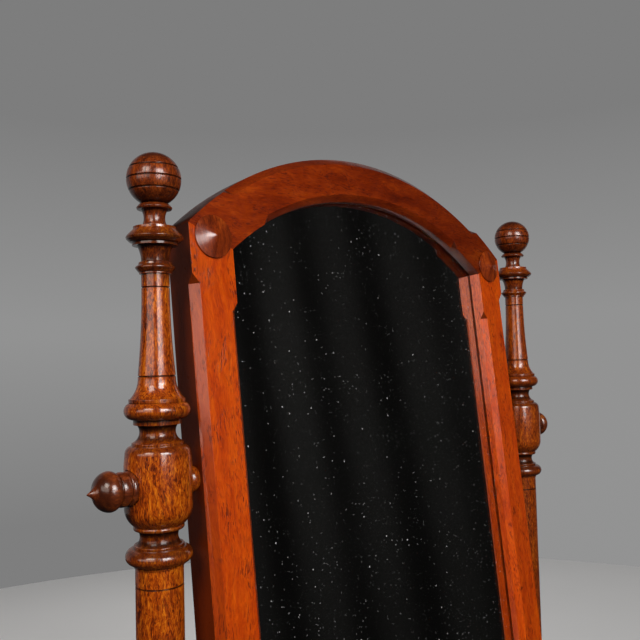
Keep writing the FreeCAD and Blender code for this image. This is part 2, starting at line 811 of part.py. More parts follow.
def make_frame():
    outer = size("frame_half_width")
    inner = outer - size("stile_width")
    drop = size("frame_drop")
    forward, inward = Vector(0, -1, 0), Vector(1, 0, 0)
    upper, lower = drop + size("roundel_level"), size("lower_roundel_rise")
    outer_leg, inner_leg = size("outer_chamfer").value, size("inner_chamfer").value

    def spigot_bores(name):
        length = size("roundel_spigot_length")
        return [cylinder("%s_%d" % (name, index), size("roundel_spigot_radius"), length,
                         roundel_seat(level), -forward) for index, level in enumerate((upper, lower))]

    stile = layered_body("stile_body", stile_outline)
    mid = size("glass_rebate")
    tenon = size("tenon_length")
    shoulder = inner + mid
    tenon_low = Vector(-(shoulder + tenon).value, -size("tenon_front").value, size("tenon_low").value)
    tenon_size = (tenon, size("tenon_thickness"), size("tenon_high") - size("tenon_low"))
    bolt_line = Vector(-outer.value, 0, drop.value)
    tools = [
        straight_chamfer("stile_outer_chamfer", -outer.value, 1, size("foot_outer_stop").value,
                         (drop + size("stile_outer_stop")).value, outer_leg),
        straight_chamfer("stile_inner_chamfer", -inner.value, -1, size("foot_inner_stop").value,
                         (drop + size("stile_inner_stop")).value, inner_leg),
        box("mortise", *tenon_size, tenon_low),
        cylinder("socket_sink", size("socket_flange_radius"), size("socket_flange_thickness"),
                 bolt_line, inward),
        cylinder("socket_bore", size("socket_radius"), size("socket_length"), bolt_line, inward),
    ]
    tools += spigot_bores("stile_spigot") + arch_dowels("stile_dowel")
    left_stile = hang(cut("left_stile", stile, tools))
    pair(left_stile, "stile")

    arch = layered_body("arch_body", arch_outline)
    radius = size("arch_radius").value
    inner_radius = radius - size("stile_width").value
    tools = [arched_chamfer("arch_outer_chamfer", radius, -1, size("arch_outer_stop").value, outer_leg),
             arched_chamfer("arch_inner_chamfer", inner_radius, 1, size("arch_inner_stop").value, inner_leg)]
    for tool in arch_dowels("arch_dowel") + spigot_bores("arch_spigot")[:1]:
        image = document.addObject("Part::Mirroring", tool.Name + "_image")
        image.Source = tool
        image.Normal = Vector(1, 0, 0)
        tools += [tool, image]
    keep(hang(cut("arched_top_rail", arch, tools)), "arched_top_rail")

    rail = layered_body("rail_body", rail_outline)
    left_tenon = box("left_tenon", *tenon_size, tenon_low)
    right_tenon = box("right_tenon", *tenon_size, Vector(shoulder.value, tenon_low.y, tenon_low.z))
    tenoned = document.addObject("Part::MultiFuse", "bottom_rail")
    tenoned.Shapes = [rail, left_tenon, right_tenon]
    document.recompute()
    keep(hang(tenoned), "bottom_rail")

    dowels = document.addObject("Part::Compound", "left_arch_dowels")
    dowels.Links = arch_dowels("joint_dowel")
    image = document.addObject("Part::Mirroring", "right_arch_dowels")
    image.Source = dowels
    image.Normal = Vector(1, 0, 0)
    both = document.addObject("Part::Compound", "arch_dowels")
    both.Links = [dowels, image]
    keep(hang(both), "arch_dowels")

    for name, level in (("upper", upper), ("lower", lower)):
        rim, height = size("roundel_radius"), size("roundel_height")
        neck, neck_height = size("roundel_neck_radius"), size("roundel_neck_height")
        spigot, length = size("roundel_spigot_radius"), size("roundel_spigot_length")
        zero = as_size(0)
        outline = [(zero, -length, None), (spigot, -length, None), (spigot, zero, None), (neck, zero, None),
                   (neck, neck_height, None), (rim, neck_height, None),
                   (rim, neck_height + size("roundel_rim_height"), None), (zero, height, None)]
        roundel = turn(name + "_roundel", outline)
        roundel.Placement = Placement(roundel_seat(level), Rotation(Vector(1, 0, 0), 90))
        hang(roundel)
        keep(roundel, "%s_left_roundel" % name)
        reflect(roundel, "%s_right_roundel" % name, Vector(1, 0, 0))


def make_glazing():
    outer = size("frame_half_width")
    inner = outer - size("stile_width")
    inner_radius = size("arch_radius") - size("stile_width")
    gap = size("fit_gap")
    layers = frame_layers()
    glass_face, board_face, glass_lost = layers[1]
    back, board_lost = layers[2][1:]
    glass_back = glass_face + size("glass_thickness")
    side = inner + glass_lost - gap
    glass = arched_plate("mirror_glass", side, size("rail_height") - glass_lost, joint_level(side) - gap * 2,
                         inner_radius + glass_lost - gap, glass_face, glass_back)
    keep(hang(glass), "mirror_glass")
    side = inner + board_lost - gap
    board = arched_plate("backboard", side, size("rail_height") - board_lost, joint_level(side) - gap * 2,
                         inner_radius + board_lost - gap, board_face, back)
    keep(hang(board), "backboard")

    centre = Vector(0, 0, (size("frame_drop") - size("arch_centre_drop")).value)
    length, width = size("glass_block_length"), size("glass_block_width")
    deep = board_face - glass_back
    blocks = []

    def block_at(place, turned):
        block = box("glass_block%d" % len(blocks), length, deep, width, Vector(0, 0, 0))
        home = Placement(Vector(-length.value / 2, glass_back.value, 0), Rotation())
        block.Placement = Placement(place, Rotation(Vector(0, 1, 0), turned)) * home
        blocks.append(block)

    rebate = (inner + glass_lost).value
    floor = (size("rail_height") - glass_lost).value
    low, high = size("side_block_low").value, size("side_block_high").value
    count = int(size("side_block_count").value)
    for index in range(count):
        level = low + (high - low) * index / (count - 1)
        block_at(Vector(-rebate, 0, level), 90)
        block_at(Vector(rebate, 0, level), -90)
    crown = (inner_radius + glass_lost).value - size("crown_block_relief").value
    for step in (-1, 0, 1):
        block_at(Vector(step * size("block_step").value, 0, floor), 0)
        angle = step * size("crown_block_angle").value
        out = Vector(math.sin(math.radians(angle)), 0, math.cos(math.radians(angle)))
        block_at(centre + out * crown, angle + 180)
    group = document.addObject("Part::Compound", "glass_blocks")
    group.Links = blocks
    keep(hang(group), "glass_blocks")

    screws = []
    head, shank = size("screw_head_radius"), size("screw_radius")
    head_height, shank_length = size("screw_head_height"), size("screw_length")

    def screw_at(x, z):
        cone = document.addObject("Part::Cone", "screw_head%d" % len(screws))
        bind(cone, "Radius1", head)
        bind(cone, "Radius2", shank)
        bind(cone, "Height", head_height)
        cone.Placement.Rotation = Rotation(Vector(1, 0, 0), 90)
        cone.Placement.Base = Vector(x, back.value, z)
        shaft = cylinder("screw_shank%d" % len(screws), shank, shank_length,
                         Vector(x, back.value - head_height.value, z), Vector(0, -1, 0))
        screw = document.addObject("Part::Fuse", "screw%d" % len(screws))
        screw.Base = cone
        screw.Tool = shaft
        screws.append(screw)

    inset = (glass_lost + board_lost).value / 2
    for index in range(count):
        level = low + (high - low) * index / (count - 1)
        screw_at(-inner.value - inset, level)
        screw_at(inner.value + inset, level)
    for step in (-1, 0, 1):
        screw_at(step * size("block_step").value, size("rail_height").value - inset)
        angle = math.radians(step * size("crown_block_angle").value)
        out = centre + Vector(math.sin(angle), 0, math.cos(angle)) * (inner_radius.value + inset)
        screw_at(out.x, out.z)
    group = document.addObject("Part::Compound", "backboard_screws")
    group.Links = screws
    keep(hang(group), "backboard_screws")


def along_pivot(thing, outward):
    """Turns a piece drawn along Z to point away from the frame, starting `outward` of the left post."""
    thing.Placement = Placement(pivot_line(outward), Rotation(Vector(0, 0, 1), Vector(-1, 0, 0)))
    return thing


def make_pivots():
    """Everything on the left pivot's axis. Places are distances outward of the left post's axis."""
    stile_side = size("frame_half_width").value - size("post_offset").value
    gap = size("seat_gap").value
    zero = as_size(0)
    running = size("running_clearance")
    bolt = size("bolt_radius")
    inner_seat, outer_seat = -size("inner_seat").value, size("outer_seat").value

    bush = document.addObject("Part::Cylinder", "bush_rod")
    bind(bush, "Radius", size("bush_radius"))
    bind(bush, "Height", size("inner_seat") + size("outer_seat"))
    along_pivot(bush, inner_seat)
    bore = cylinder("bush_hole", bolt + running, size("barrel_radius") * 4,
                    pivot_line(-2 * size("barrel_radius").value), Vector(-1, 0, 0))
    pair(cut("left_pivot_bush", bush, [bore]), "pivot_bush")

    reach = -size("inner_seat") - size("seat_gap") - (size("frame_half_width") - size("post_offset"))
    radius, hole = size("boss_radius"), size("boss_hole_radius")
    outline = [(hole, zero, None), (radius, zero, -size("boss_dome")),
               (radius, reach, None), (hole, reach, None)]
    pair(along_pivot(turn("left_boss", outline), stile_side), "boss")

    flange, thick = size("socket_flange_radius"), size("socket_flange_thickness")
    body, deep, hole = size("socket_radius"), size("socket_length"), bolt + running
    outline = [(hole, -deep, None), (body, -deep, None), (body, -thick, None), (flange, -thick, None),
               (flange, zero, None), (hole, zero, None)]
    pair(along_pivot(turn("left_threaded_socket", outline), stile_side), "threaded_socket")

    ring, hole = size("collar_radius"), size("collar_hole_radius")
    length = size("collar_thickness")
    outline = [(hole, zero, None), (ring, zero, -size("collar_round")),
               (ring, length, None), (hole, length, None)]
    collar_start = outer_seat + gap
    pair(along_pivot(turn("left_clamp_collar", outline), collar_start), "clamp_collar")

    knob_start = collar_start + length.value + gap
    stations = [station(row[0], flip=True) for row in KNOB_STATIONS]
    tip = stations[-1][1]
    depth = size("bolt_in_knob")
    outline = [(bolt, zero, None)] + stations + [(zero, tip, None), (zero, depth, None), (bolt, depth, None)]
    pair(along_pivot(turn("left_clamp_knob", outline), knob_start), "clamp_knob")

    inner_end = stile_side - size("bolt_in_stile").value
    rod = cylinder("left_pivot_bolt", bolt, as_size(knob_start + depth.value - inner_end),
                   pivot_line(inner_end), Vector(-1, 0, 0))
    pair(rod, "pivot_bolt")


def check_document():
    document.recompute()
    for thing in document.Objects:
        if "Invalid" in thing.State or "Error" in thing.State:
            raise RuntimeError("%s failed: %s" % (thing.Label, thing.getStatusString()))
    labels = [thing.Label for thing in nodes]
    if len(set(labels)) != len(labels):
        raise RuntimeError("two sub-parts share a name")
    for thing in nodes:
        shape = thing.Shape
        if shape.isNull() or not shape.isValid() or not shape.Solids or shape.Volume <= 0:
            raise RuntimeError("%s is not a valid solid" % thing.Label)


def write_parts():
    os.makedirs(PARTS_FOLDER, exist_ok=True)
    for thing in nodes:
        thing.Shape.exportStep("%s/%s.step" % (PARTS_FOLDER, thing.Label))
        print("%-24s %2d solids %10.0f mm3" % (thing.Label, len(thing.Shape.Solids), thing.Shape.Volume))


fill_sheet()
make_posts()
make_finials()
make_pendants()
make_stretcher()
make_feet()
make_frame()
make_glazing()
make_pivots()
check_document()
write_parts()
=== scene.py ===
"""Cheval floor mirror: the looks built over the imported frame. Metres; +Z up, -Y the front."""

import math

import bmesh
import bpy
from mathutils import Matrix, Vector


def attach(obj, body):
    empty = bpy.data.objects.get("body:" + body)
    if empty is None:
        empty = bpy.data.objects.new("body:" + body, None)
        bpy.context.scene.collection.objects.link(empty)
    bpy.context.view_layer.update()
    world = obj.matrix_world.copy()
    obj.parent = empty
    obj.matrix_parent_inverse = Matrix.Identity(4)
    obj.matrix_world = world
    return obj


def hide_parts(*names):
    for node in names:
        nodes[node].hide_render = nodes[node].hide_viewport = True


MM = 0.001
SIDES = (("left", -1), ("right", 1))
POST_X = 0.340                  # from the middle of the mirror to a post's axis
PIVOT = 1.050                   # level of the axis the frame swings on
TILT = math.radians(5.87)       # how far the frame leans back at rest
SEGMENTS = 112                  # faces around a turning

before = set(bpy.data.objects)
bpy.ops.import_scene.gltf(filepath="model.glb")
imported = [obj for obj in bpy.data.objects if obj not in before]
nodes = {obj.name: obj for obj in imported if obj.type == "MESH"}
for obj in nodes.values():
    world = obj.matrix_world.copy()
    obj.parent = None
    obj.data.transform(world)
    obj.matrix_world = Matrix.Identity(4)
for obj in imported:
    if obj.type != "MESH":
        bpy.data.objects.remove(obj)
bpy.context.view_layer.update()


# ---------------------------------------------------------------- profiles

def bow(start, end, rise, steps=10):
    """Points of the arc that stands `rise` to the left of the way from start to end, without its start."""
    if not rise:
        return [end]
    way = end - start
    left = Vector((-way.y, way.x)).normalized() * (1 if rise > 0 else -1)
    rise = abs(rise)
    half = 2 * math.atan(2 * rise / way.length)
    radius = way.length / 2 / math.sin(half)
    centre = (start + end) / 2 - left * (radius - rise)
    ahead = way.normalized()
    made = []
    for step in range(1, steps + 1):
        angle = half * (2 * step / steps - 1)
        made.append(centre + ahead * (radius * math.sin(angle)) + left * (radius * math.cos(angle)))
    return made


ROUNDED = 0.4       # the most of a flat that a rounding may take
HELD = 1.22         # how far past a rounding its flat is pinned down
ARC_STEPS = 4


def soften(points, size, least=20):
    """Rounds every corner sharper than `least` degrees, and keeps the flats between them flat."""
    made = [points[0]]
    for before, here, after in zip(points, points[1:], points[2:]):
        back, ahead = before - here, after - here
        if back.length < 1e-7 or ahead.length < 1e-7:
            continue
        turn = math.degrees(math.pi - back.angle(ahead))
        if turn < least:
            made.append(here)
            continue
        reach = min(size, back.length * ROUNDED, ahead.length * ROUNDED)
        first, last = here + back.normalized() * reach, here + ahead.normalized() * reach
        made.append(here + back.normalized() * reach * HELD)
        for step in range(ARC_STEPS + 1):
            t = step / ARC_STEPS
            made.append(first * (1 - t) ** 2 + here * (2 * t * (1 - t)) + last * t ** 2)
        made.append(here + ahead.normalized() * reach * HELD)
    return made + [points[-1]]


SCORE_HALF_WIDTH, SCORE_DEPTH = 0.75, 1.0
SCORE_SHAPE = ((1.3, 0), (1, 0), (0.6, 1), (-0.6, 1), (-1, 0), (-1.3, 0))


def profile(rows, scores=()):
    """A turned outline in metres from rows of (place, radius, rise of the arc to the next row).

    At each place in scores a narrow flat-bottomed groove is cut.
    """
    way = 1 if rows[0][0] > rows[-1][0] else -1
    points = []
    rise = 0
    for place, radius, next_rise in rows:
        here = Vector((radius, place)) * MM
        marks = [here]
        if place in scores:
            step = Vector((0, way * SCORE_HALF_WIDTH)) * MM
            floor = Vector((SCORE_DEPTH, 0)) * MM
            marks = [here + step * along - floor * deep for along, deep in SCORE_SHAPE]
        if points and rise:
            points += bow(points[-1], marks[0], rise * MM * way)
            points += marks[1:]
        else:
            points += marks
        rise = next_rise
    return points


def sweep(values, window, pick):
    """What `pick` makes of the values within the window around each place."""
    return [pick(values[max(0, i - window):i + window + 1]) for i in range(len(values))]


CELL = 0.5 * MM


def envelope(points, reach=6 * MM, fill=10 * MM):
    """The turning in cells along its length: its radius with the hollows filled, and how moulded it is."""
    heights = sorted(p.y for p in points)
    low, high = heights[0], heights[-1]
    count = max(8, int((high - low) / CELL))
    radii = [0.0] * (count + 1)
    for first, last in zip(points, points[1:]):
        a, b = sorted(((first.y, first.x), (last.y, last.x)))
        begin = int((a[0] - low) / (high - low) * count)
        end = int((b[0] - low) / (high - low) * count)
        for cell in range(begin, end + 1):
            share = 0 if end == begin else (cell - begin) / (end - begin)
            value = max(a[1], b[1]) if end == begin else a[1] + (b[1] - a[1]) * share
            radii[cell] = max(radii[cell], value)
    near, far = (max(1, int(span / (high - low) * count)) for span in (reach, fill))
    padded = [0.0] * far + radii + [0.0] * far
    filled = sweep(sweep(padded, far, max), far, min)[far:-far]
    grown, shrunk = sweep(radii, near, max), sweep(radii, near, min)
    tops = [min(pair) for pair in zip(grown, filled)]
    relief = [min(a, b) - c for a, b, c in zip(grown, filled, shrunk)]

    def even(values):
        return sweep(values, near // 2, lambda part: sum(part) / len(part))
    return low, high, even(tops), even(relief)


# ---------------------------------------------------------------- pieces

def finish_mesh(name, built, smooth=True):
    """Turns a bmesh into a mesh."""
    mesh = bpy.data.meshes.new(name)
    built.to_mesh(mesh)
    built.free()
    for polygon in mesh.polygons:
        polygon.use_smooth = smooth
    return mesh


def shade_by_angle(mesh, degrees):
    """Smooth shading that stops at edges sharper than this."""
    for polygon in mesh.polygons:
        polygon.use_smooth = True
    built = bmesh.new()
    built.from_mesh(mesh)
    for edge in built.edges:
        edge.smooth = edge.calc_face_angle(0) < math.radians(degrees)
    built.to_mesh(mesh)
    built.free()


def new_piece(name, mesh, body, replaced, slot, *materials):
    """Adds a mesh as a piece on a body, in place of the CAD nodes it replaces."""
    piece = bpy.data.objects.new(name, mesh)
    bpy.context.scene.collection.objects.link(piece)
    for material in materials:
        mesh.materials.append(material)
    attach(piece, body)
    if replaced:
        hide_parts(*replaced)
    return piece


def turn_to(along):
    """The rotation that points Z along the given direction."""
    return Vector(along).to_track_quat("Z", "Y").to_matrix().to_4x4()


def place_at(x, z, along=None):
    """A frame at (x, 0, z) whose Z points up, or along the given direction."""
    place = Matrix.Translation((x, 0, z))
    return place @ turn_to(along) if along else place


def revolve(into, points, place, segments=SEGMENTS):
    """Adds the solid of revolution of points (radius, along) about the local Z of `place`."""
    rings = []
    for point in points:
        if point.x < 1e-6:
            rings.append([into.verts.new(place @ Vector((0, 0, point.y)))])
            continue
        ring = []
        for step in range(segments):
            angle = 2 * math.pi * step / segments
            ring.append(into.verts.new(
                place @ Vector((point.x * math.cos(angle), point.x * math.sin(angle), point.y))))
        rings.append(ring)
    made = []
    for first, last in zip(rings, rings[1:]):
        for step in range(segments):
            after = (step + 1) % segments
            corners = []
            for corner in (first[step % len(first)], first[after % len(first)],
                           last[after % len(last)], last[step % len(last)]):
                if corner not in corners:
                    corners.append(corner)
            if len(corners) > 2:
                made.append(into.faces.new(corners))
    bmesh.ops.recalc_face_normals(into, faces=made)
    return made


def closed(points):
    """The outline run in to the axis at both ends."""
    ends = [Vector((0, points[0].y))] if points[0].x > 1e-6 else []
    tail = [Vector((0, points[-1].y))] if points[-1].x > 1e-6 else []
    return ends + points + tail


RECESS_FROM = 0.5 * MM      # hollows shallower than this are not darkened
MOULDED_FROM = 1.5 * MM     # relief below this counts as plain
SCORE_MARK = 0.9 * MM       # half the width of the dark line in a score


def clamped(value):
    """A value held between 0 and 1."""
    return max(0.0, min(1.0, value))


def mark_recess(mesh, place, points, depth=4 * MM, scores=()):
    """Stores how deep each point lies in a hollow, and how moulded the turning is there.

    The wood darkens with both: the hollows and every scored line by painted shade and dark polish, the
    mouldings by a darker tone.
    """
    low, high, tops, relief = envelope(points)
    back = place.inverted()
    for name in ("recess", "moulded"):
        mesh.attributes.new(name, "FLOAT", "POINT")
    recess, moulded = mesh.attributes["recess"], mesh.attributes["moulded"]
    for vertex in mesh.vertices:
        local = back @ vertex.co
        cell = (local.z - low) / (high - low) * (len(tops) - 1)
        cell = min(len(tops) - 1, max(0, round(cell)))
        deep = tops[cell] - math.hypot(local.x, local.y)
        scored = any(abs(local.z - score * MM) < SCORE_MARK for score in scores)
        recess.data[vertex.index].value = 1.0 if scored else clamped((deep - RECESS_FROM) / depth)
        moulded.data[vertex.index].value = clamped((relief[cell] - MOULDED_FROM) / (1.5 * depth))


def turned(name, body, replaced, slot, material, points, place, soft=0.45, segments=SEGMENTS,
           hollow=4 * MM):
    """A turned piece from its outline, with its corners rounded by `soft` millimetres."""
    outline = closed(soften(closed(points), soft * MM))
    built = bmesh.new()
    revolve(built, outline, place, segments)
    mesh = finish_mesh(name, built)
    mark_recess(mesh, place, outline, hollow)
    return new_piece(name, mesh, body, replaced, slot, material)


def carve(piece, tools):
    """Cuts the tools' meshes out of a piece, for good."""
    made = []
    for index, tool in enumerate(tools):
        cutter = bpy.data.objects.new("cutter_%d" % index, tool)
        bpy.context.scene.collection.objects.link(cutter)
        step = piece.modifiers.new("cut_%d" % index, "BOOLEAN")
        step.operation = "DIFFERENCE"
        step.solver = "EXACT"
        step.object = cutter
        made.append(cutter)
    graph = bpy.context.evaluated_depsgraph_get()
    mesh = bpy.data.meshes.new_from_object(piece.evaluated_get(graph))
    mesh.name = piece.name
    piece.modifiers.clear()
    piece.data = mesh
    for cutter in made:
        bpy.data.objects.remove(cutter)


def rod_mesh(name, radius, start, end, segments=64):
    """A straight rod between two points, as a tool for carving."""
    built = bmesh.new()
    way = end - start
    outline = [Vector((0, 0)), Vector((radius, 0)), Vector((radius, way.length)), Vector((0, way.length))]
    revolve(built, outline, Matrix.Translation(start) @ turn_to(way), segments)
    return finish_mesh(name, built, smooth=False)


def slab(into, outline, depth_from, depth_to, place, rounding, segments=3, least=0):
    """Adds a plate with the given outline, its long edges rounded over.

    With `least`, its corners sharper than that many degrees are rounded too.
    """
    low = [into.verts.new(place @ Vector((p.x, p.y, depth_from))) for p in outline]
    high = [into.verts.new(place @ Vector((p.x, p.y, depth_to))) for p in outline]
    faces = [into.faces.new(low[::-1]), into.faces.new(high)]
    count = len(outline)
    for index in range(count):
        after = (index + 1) % count
        faces.append(into.faces.new([low[index], low[after], high[after], high[index]]))
    bmesh.ops.recalc_face_normals(into, faces=faces)
    rims = set()
    for ring in (low, high):
        for index in range(count):
            rims.add(into.edges.get((ring[index], ring[(index + 1) % count])))
    if least:
        for index in range(count):
            edge = into.edges.get((low[index], high[index]))
            if edge.calc_face_angle(0) > math.radians(least):
                rims.add(edge)
    bmesh.ops.bevel(into, geom=list(rims), offset=rounding, segments=segments, profile=0.5,
                    affect="EDGES", clamp_overlap=True)


# ---------------------------------------------------------------- materials

class Shader:
    """A node material, built by short calls."""

    def __init__(self, name):
        self.material = bpy.data.materials.new(name)
        self.material.use_nodes = True
        self.tree = self.material.node_tree
        self.tree.nodes.clear()

    def add(self, kind, inputs=None, **settings):
        """A node, with its inputs linked to sockets or set to values."""
        made = self.tree.nodes.new("ShaderNode" + kind)
        for key, value in settings.items():
            setattr(made, key, value)
        for key, value in (inputs or {}).items():
            if isinstance(value, bpy.types.NodeSocket):
                self.tree.links.new(value, made.inputs[key])
            else:
                made.inputs[key].default_value = value
        return made

    def calc(self, way, first, second=0.0, third=0.0, clamp=False):
        """One step of arithmetic."""
        return self.add("Math", {0: first, 1: second, 2: third}, operation=way, use_clamp=clamp).outputs[0]

    def vector(self, way, *inputs):
        """One step of arithmetic on vectors."""
        return self.add("VectorMath", dict(enumerate(inputs)), operation=way).outputs

    def mix(self, share, first, second):
        """Two colours mixed; inputs 6 and 7 of the node are its colours, and so is output 2."""
        return self.add("Mix", {0: share, 6: first, 7: second}, data_type="RGBA").outputs[2]

    def blend(self, share, colour, over):
        """A colour with a share of a fixed tint, in display steps, laid over it."""
        return self.mix(share, colour, (*tint(*over), 1))

    def span(self, value, low, high, to_low=0.0, to_high=1.0):
        """A value carried from one range to another."""
        return self.add("MapRange", {0: value, 1: low, 2: high, 3: to_low, 4: to_high}).outputs[0]

    def ramp(self, value, *stops):
        """A colour ramp through (place, colour) stops."""
        made = self.add("ValToRGB", {0: value})
        elements = made.color_ramp.elements
        while len(elements) < len(stops):
            elements.new(0.5)
        for element, (place, colour) in zip(elements, stops):
            element.position = place
            element.color = (*colour, 1)
        return made.outputs[0]

    def noise(self, at, scale, detail=4.0, rough=0.55, warp=0.0):
        """Noise, in cells to the metre."""
        return self.add("TexNoise", {"Vector": at, "Scale": scale, "Detail": detail, "Roughness": rough,
                                     "Distortion": warp}).outputs[0]

    def place(self):
        """Where the point lies, in metres in the shared frame."""
        return self.add("TexCoord").outputs["Object"]

    def along(self, axis):
        """The same, along one axis."""
        return self.add("SeparateXYZ", {0: self.place()}).outputs[axis]

    def stored(self, name):
        """A value stored on the mesh."""
        return self.add("Attribute", attribute_name=name, attribute_type="GEOMETRY").outputs["Fac"]

    def done(self, surface):
        """The material, with the surface as its output."""
        self.add("OutputMaterial", {0: surface})
        return self.material


def tint(red, green, blue):
    """A colour given in 0-255 display steps, as linear light."""
    def linear(step):
        share = step / 255
        return share / 12.92 if share <= 0.04045 else ((share + 0.055) / 1.055) ** 2.4
    return linear(red), linear(green), linear(blue)


def grain_space(shader, axis, tilt=0.0, start=(0.0, 0.0, 0.0)):
    """Coordinates in metres whose Z runs along the grain."""
    quarter = math.radians(90)
    turn = {"z": (tilt, 0, 0), "x": (0, quarter, 0), "y": (quarter, 0, 0)}[axis]
    return shader.add("Mapping", {"Vector": shader.place(), "Location": start, "Rotation": turn}).outputs[0]


def stretched(shader, at, along):
    """Coordinates drawn out along the grain by the inverse of `along`."""
    return shader.add("Mapping", {"Vector": at, "Scale": (1, 1, along)}).outputs[0]


# the colour of the painted shade and dark polish in the hollows
SHADE_AND_POLISH_TINT = (20, 8, 4)
MOULDED_TINT = (52, 20, 7)


def polished_wood(name, stops, axis, tilt=0.0, start=(0, 0, 0), figure=0.5, fleck=0.5, pores=0.6,
                  streak=90, mottle=45, gloss=0.85, coat_rough=0.09, pore_tint=(40, 14, 6), stain_and_shade=None,
                  ripple=0.12, pore_scale=520, pore_length=0.06, pore_cut=0.635, banding=1.3,
                  shade=None, shade_tint=(44, 8, 1), stain_and_shade_tint=(96, 36, 9)):
    """Figured, pored wood under French polish."""
    s = Shader(name)

    # the grain, pushed about by up to a centimetre
    base = grain_space(s, axis, tilt, start)
    push = s.add("TexNoise", {"Vector": base, "Scale": 14.0, "Detail": 2.0}).outputs["Color"]
    push = s.vector("SUBTRACT", push, (0.5, 0.5, 0.5))[0]
    push = s.add("VectorMath", {0: push, "Scale": 0.022}, operation="SCALE").outputs[0]
    at = s.vector("ADD", base, push)[0]

    # the colour of the wood: clouds of figure, bands of growth, flecks
    bands = s.noise(stretched(s, at, 0.09), streak, 6.0, 0.6)
    cloud = s.noise(stretched(s, at, 0.35), mottle, 4.0, 0.6, 0.6)
    flecks = s.noise(stretched(s, at, 0.30), mottle * 5.5, 4.0, 0.62, 1.1)
    tone = s.calc("MULTIPLY_ADD", s.calc("SUBTRACT", cloud, 0.5), figure * 2.0, 0.5)
    tone = s.calc("MULTIPLY_ADD", s.calc("SUBTRACT", bands, 0.5), banding, tone)
    tone = s.calc("MULTIPLY_ADD", s.calc("SUBTRACT", flecks, 0.5), fleck * 2.2, tone, clamp=True)
    colour = s.ramp(tone, *stops)

    # fine lines, and open pores in patches
    fine = s.noise(stretched(s, at, 0.055), 900, 3.0, 0.6)
    colour = s.blend(s.span(fine, 0.35, 0.72, 0.0, 0.34), colour, pore_tint)
    hole = s.noise(stretched(s, at, pore_length), pore_scale, 1.0, 0.4)
    patch = s.noise(stretched(s, at, 0.4), 70, 2.0)
    hole = s.calc("MULTIPLY", s.span(hole, pore_cut, pore_cut + 0.06), s.span(patch, 0.38, 0.62))
    hole = s.calc("MULTIPLY", hole, pores, clamp=True)
    colour = s.blend(hole, colour, pore_tint)

    # a darker tone on the mouldings, painted shade and dark polish in the hollows, the darker part given
    # (painted shade on the arch), and stain with painted shade at the ends of the chamfers
    colour = s.blend(s.calc("MULTIPLY", s.stored("moulded"), 0.78), colour, MOULDED_TINT)
    recess = s.stored("recess")
    # painted shade and dark polish in the hollows and scored lines, darker the deeper they lie
    shade_and_polish = s.calc("MULTIPLY", recess, s.span(s.noise(at, 160, 3.0), 0.3, 0.6, 0.7, 1.0), clamp=True)
    colour = s.blend(s.calc("MULTIPLY", shade_and_polish, 0.85), colour, SHADE_AND_POLISH_TINT)
    if shade:
        colour = s.blend(shade(s), colour, shade_tint)
    shine = s.calc("MULTIPLY", s.span(recess, 0.3, 1.0, 1.0, 0.25), gloss)
    # stain, and painted shade at the ends of the chamfers
    if stain_and_shade:
        darkened = stain_and_shade(s)
        colour = s.blend(darkened, colour, stain_and_shade_tint)
        shine = s.calc("MULTIPLY", shine, s.span(darkened, 0.4, 0.9, 1.0, 0.15))

    # the surface: pores sink, and the polish over them ripples
    roughness = s.span(s.noise(at, 120, 3.0), 0.3, 0.7, 0.27, 0.43)
    roughness = s.calc("MULTIPLY_ADD", hole, 0.25, roughness, clamp=True)
    sunk = s.calc("MULTIPLY_ADD", hole, -1.0, s.calc("MULTIPLY", fine, 0.35))
    bump = s.add("Bump", {"Strength": 0.35, "Distance": 0.0002, "Height": sunk}).outputs[0]
    wave = s.noise(stretched(s, at, 0.5), 85, 3.0)
    wave = s.add("Bump", {"Strength": ripple, "Distance": 0.0006, "Height": wave, "Normal": bump}).outputs[0]
    surface = s.add("BsdfPrincipled", {
        "Base Color": colour, "Roughness": roughness, "IOR": 1.5, "Specular IOR Level": 0.04,
        "Coat Weight": shine, "Coat Roughness": coat_rough, "Coat IOR": 1.5, "Normal": wave,
        "Coat Normal": wave})
    return s.done(surface.outputs[0])


def in_face_plane(shader, vector, middle=(0, 0, 0)):
    """A vector from the given middle, laid flat on the plane the frame faces."""
    return shader.add("Mapping", {"Vector": vector, "Location": middle, "Scale": (1, 0, 1)}).outputs[0]


def from_pivot(shader):
    """The direction of a point of the frame from the middle of its pivot line, as seen from the front."""
    return shader.vector("NORMALIZE", in_face_plane(shader, shader.place(), (0, 0, -PIVOT)))[0]


def edge_stain(shader, chamfer):
    """How far the frame is stained: its outside edges fully, its outer chamfers by the share given."""
    facing = in_face_plane(shader, shader.add("TexCoord").outputs["Normal"])
    lean = shader.vector("DOT_PRODUCT", from_pivot(shader), facing)["Value"]
    side = shader.vector("LENGTH", facing)["Value"]
    outside = shader.span(lean, 0.10, 0.2)
    flat = shader.calc("MULTIPLY", outside, shader.span(side, 0.9, 0.98))
    eased = shader.calc("MULTIPLY", outside, shader.span(side, 0.4, 0.6))
    darkened = shader.calc("MAXIMUM", flat, shader.calc("MULTIPLY", eased, chamfer))
    patch = shader.span(shader.noise(shader.place(), 18, 4.0), 0.3, 0.7, 0.88, 0.98)
    return shader.calc("MULTIPLY", darkened, patch)


STOP_SHADE = 0.85       # how dark the ends of the chamfers are painted: painted shade on their ramps


def stile_stain_and_shade(shader):
    """The stain of a stile, with painted shade on the ends of its chamfers, where they face both up or down
    and outwards.
    """
    normal = shader.add("SeparateXYZ", {0: shader.add("TexCoord").outputs["Normal"]}).outputs
    upward, outward = (shader.calc("ABSOLUTE", normal[axis]) for axis in (2, 0))
    stop = shader.calc("MULTIPLY", shader.span(upward, 0.22, 0.32), shader.span(outward, 0.2, 0.3))
    return shader.calc("MAXIMUM", edge_stain(shader, 0.5), shader.calc("MULTIPLY", stop, STOP_SHADE))


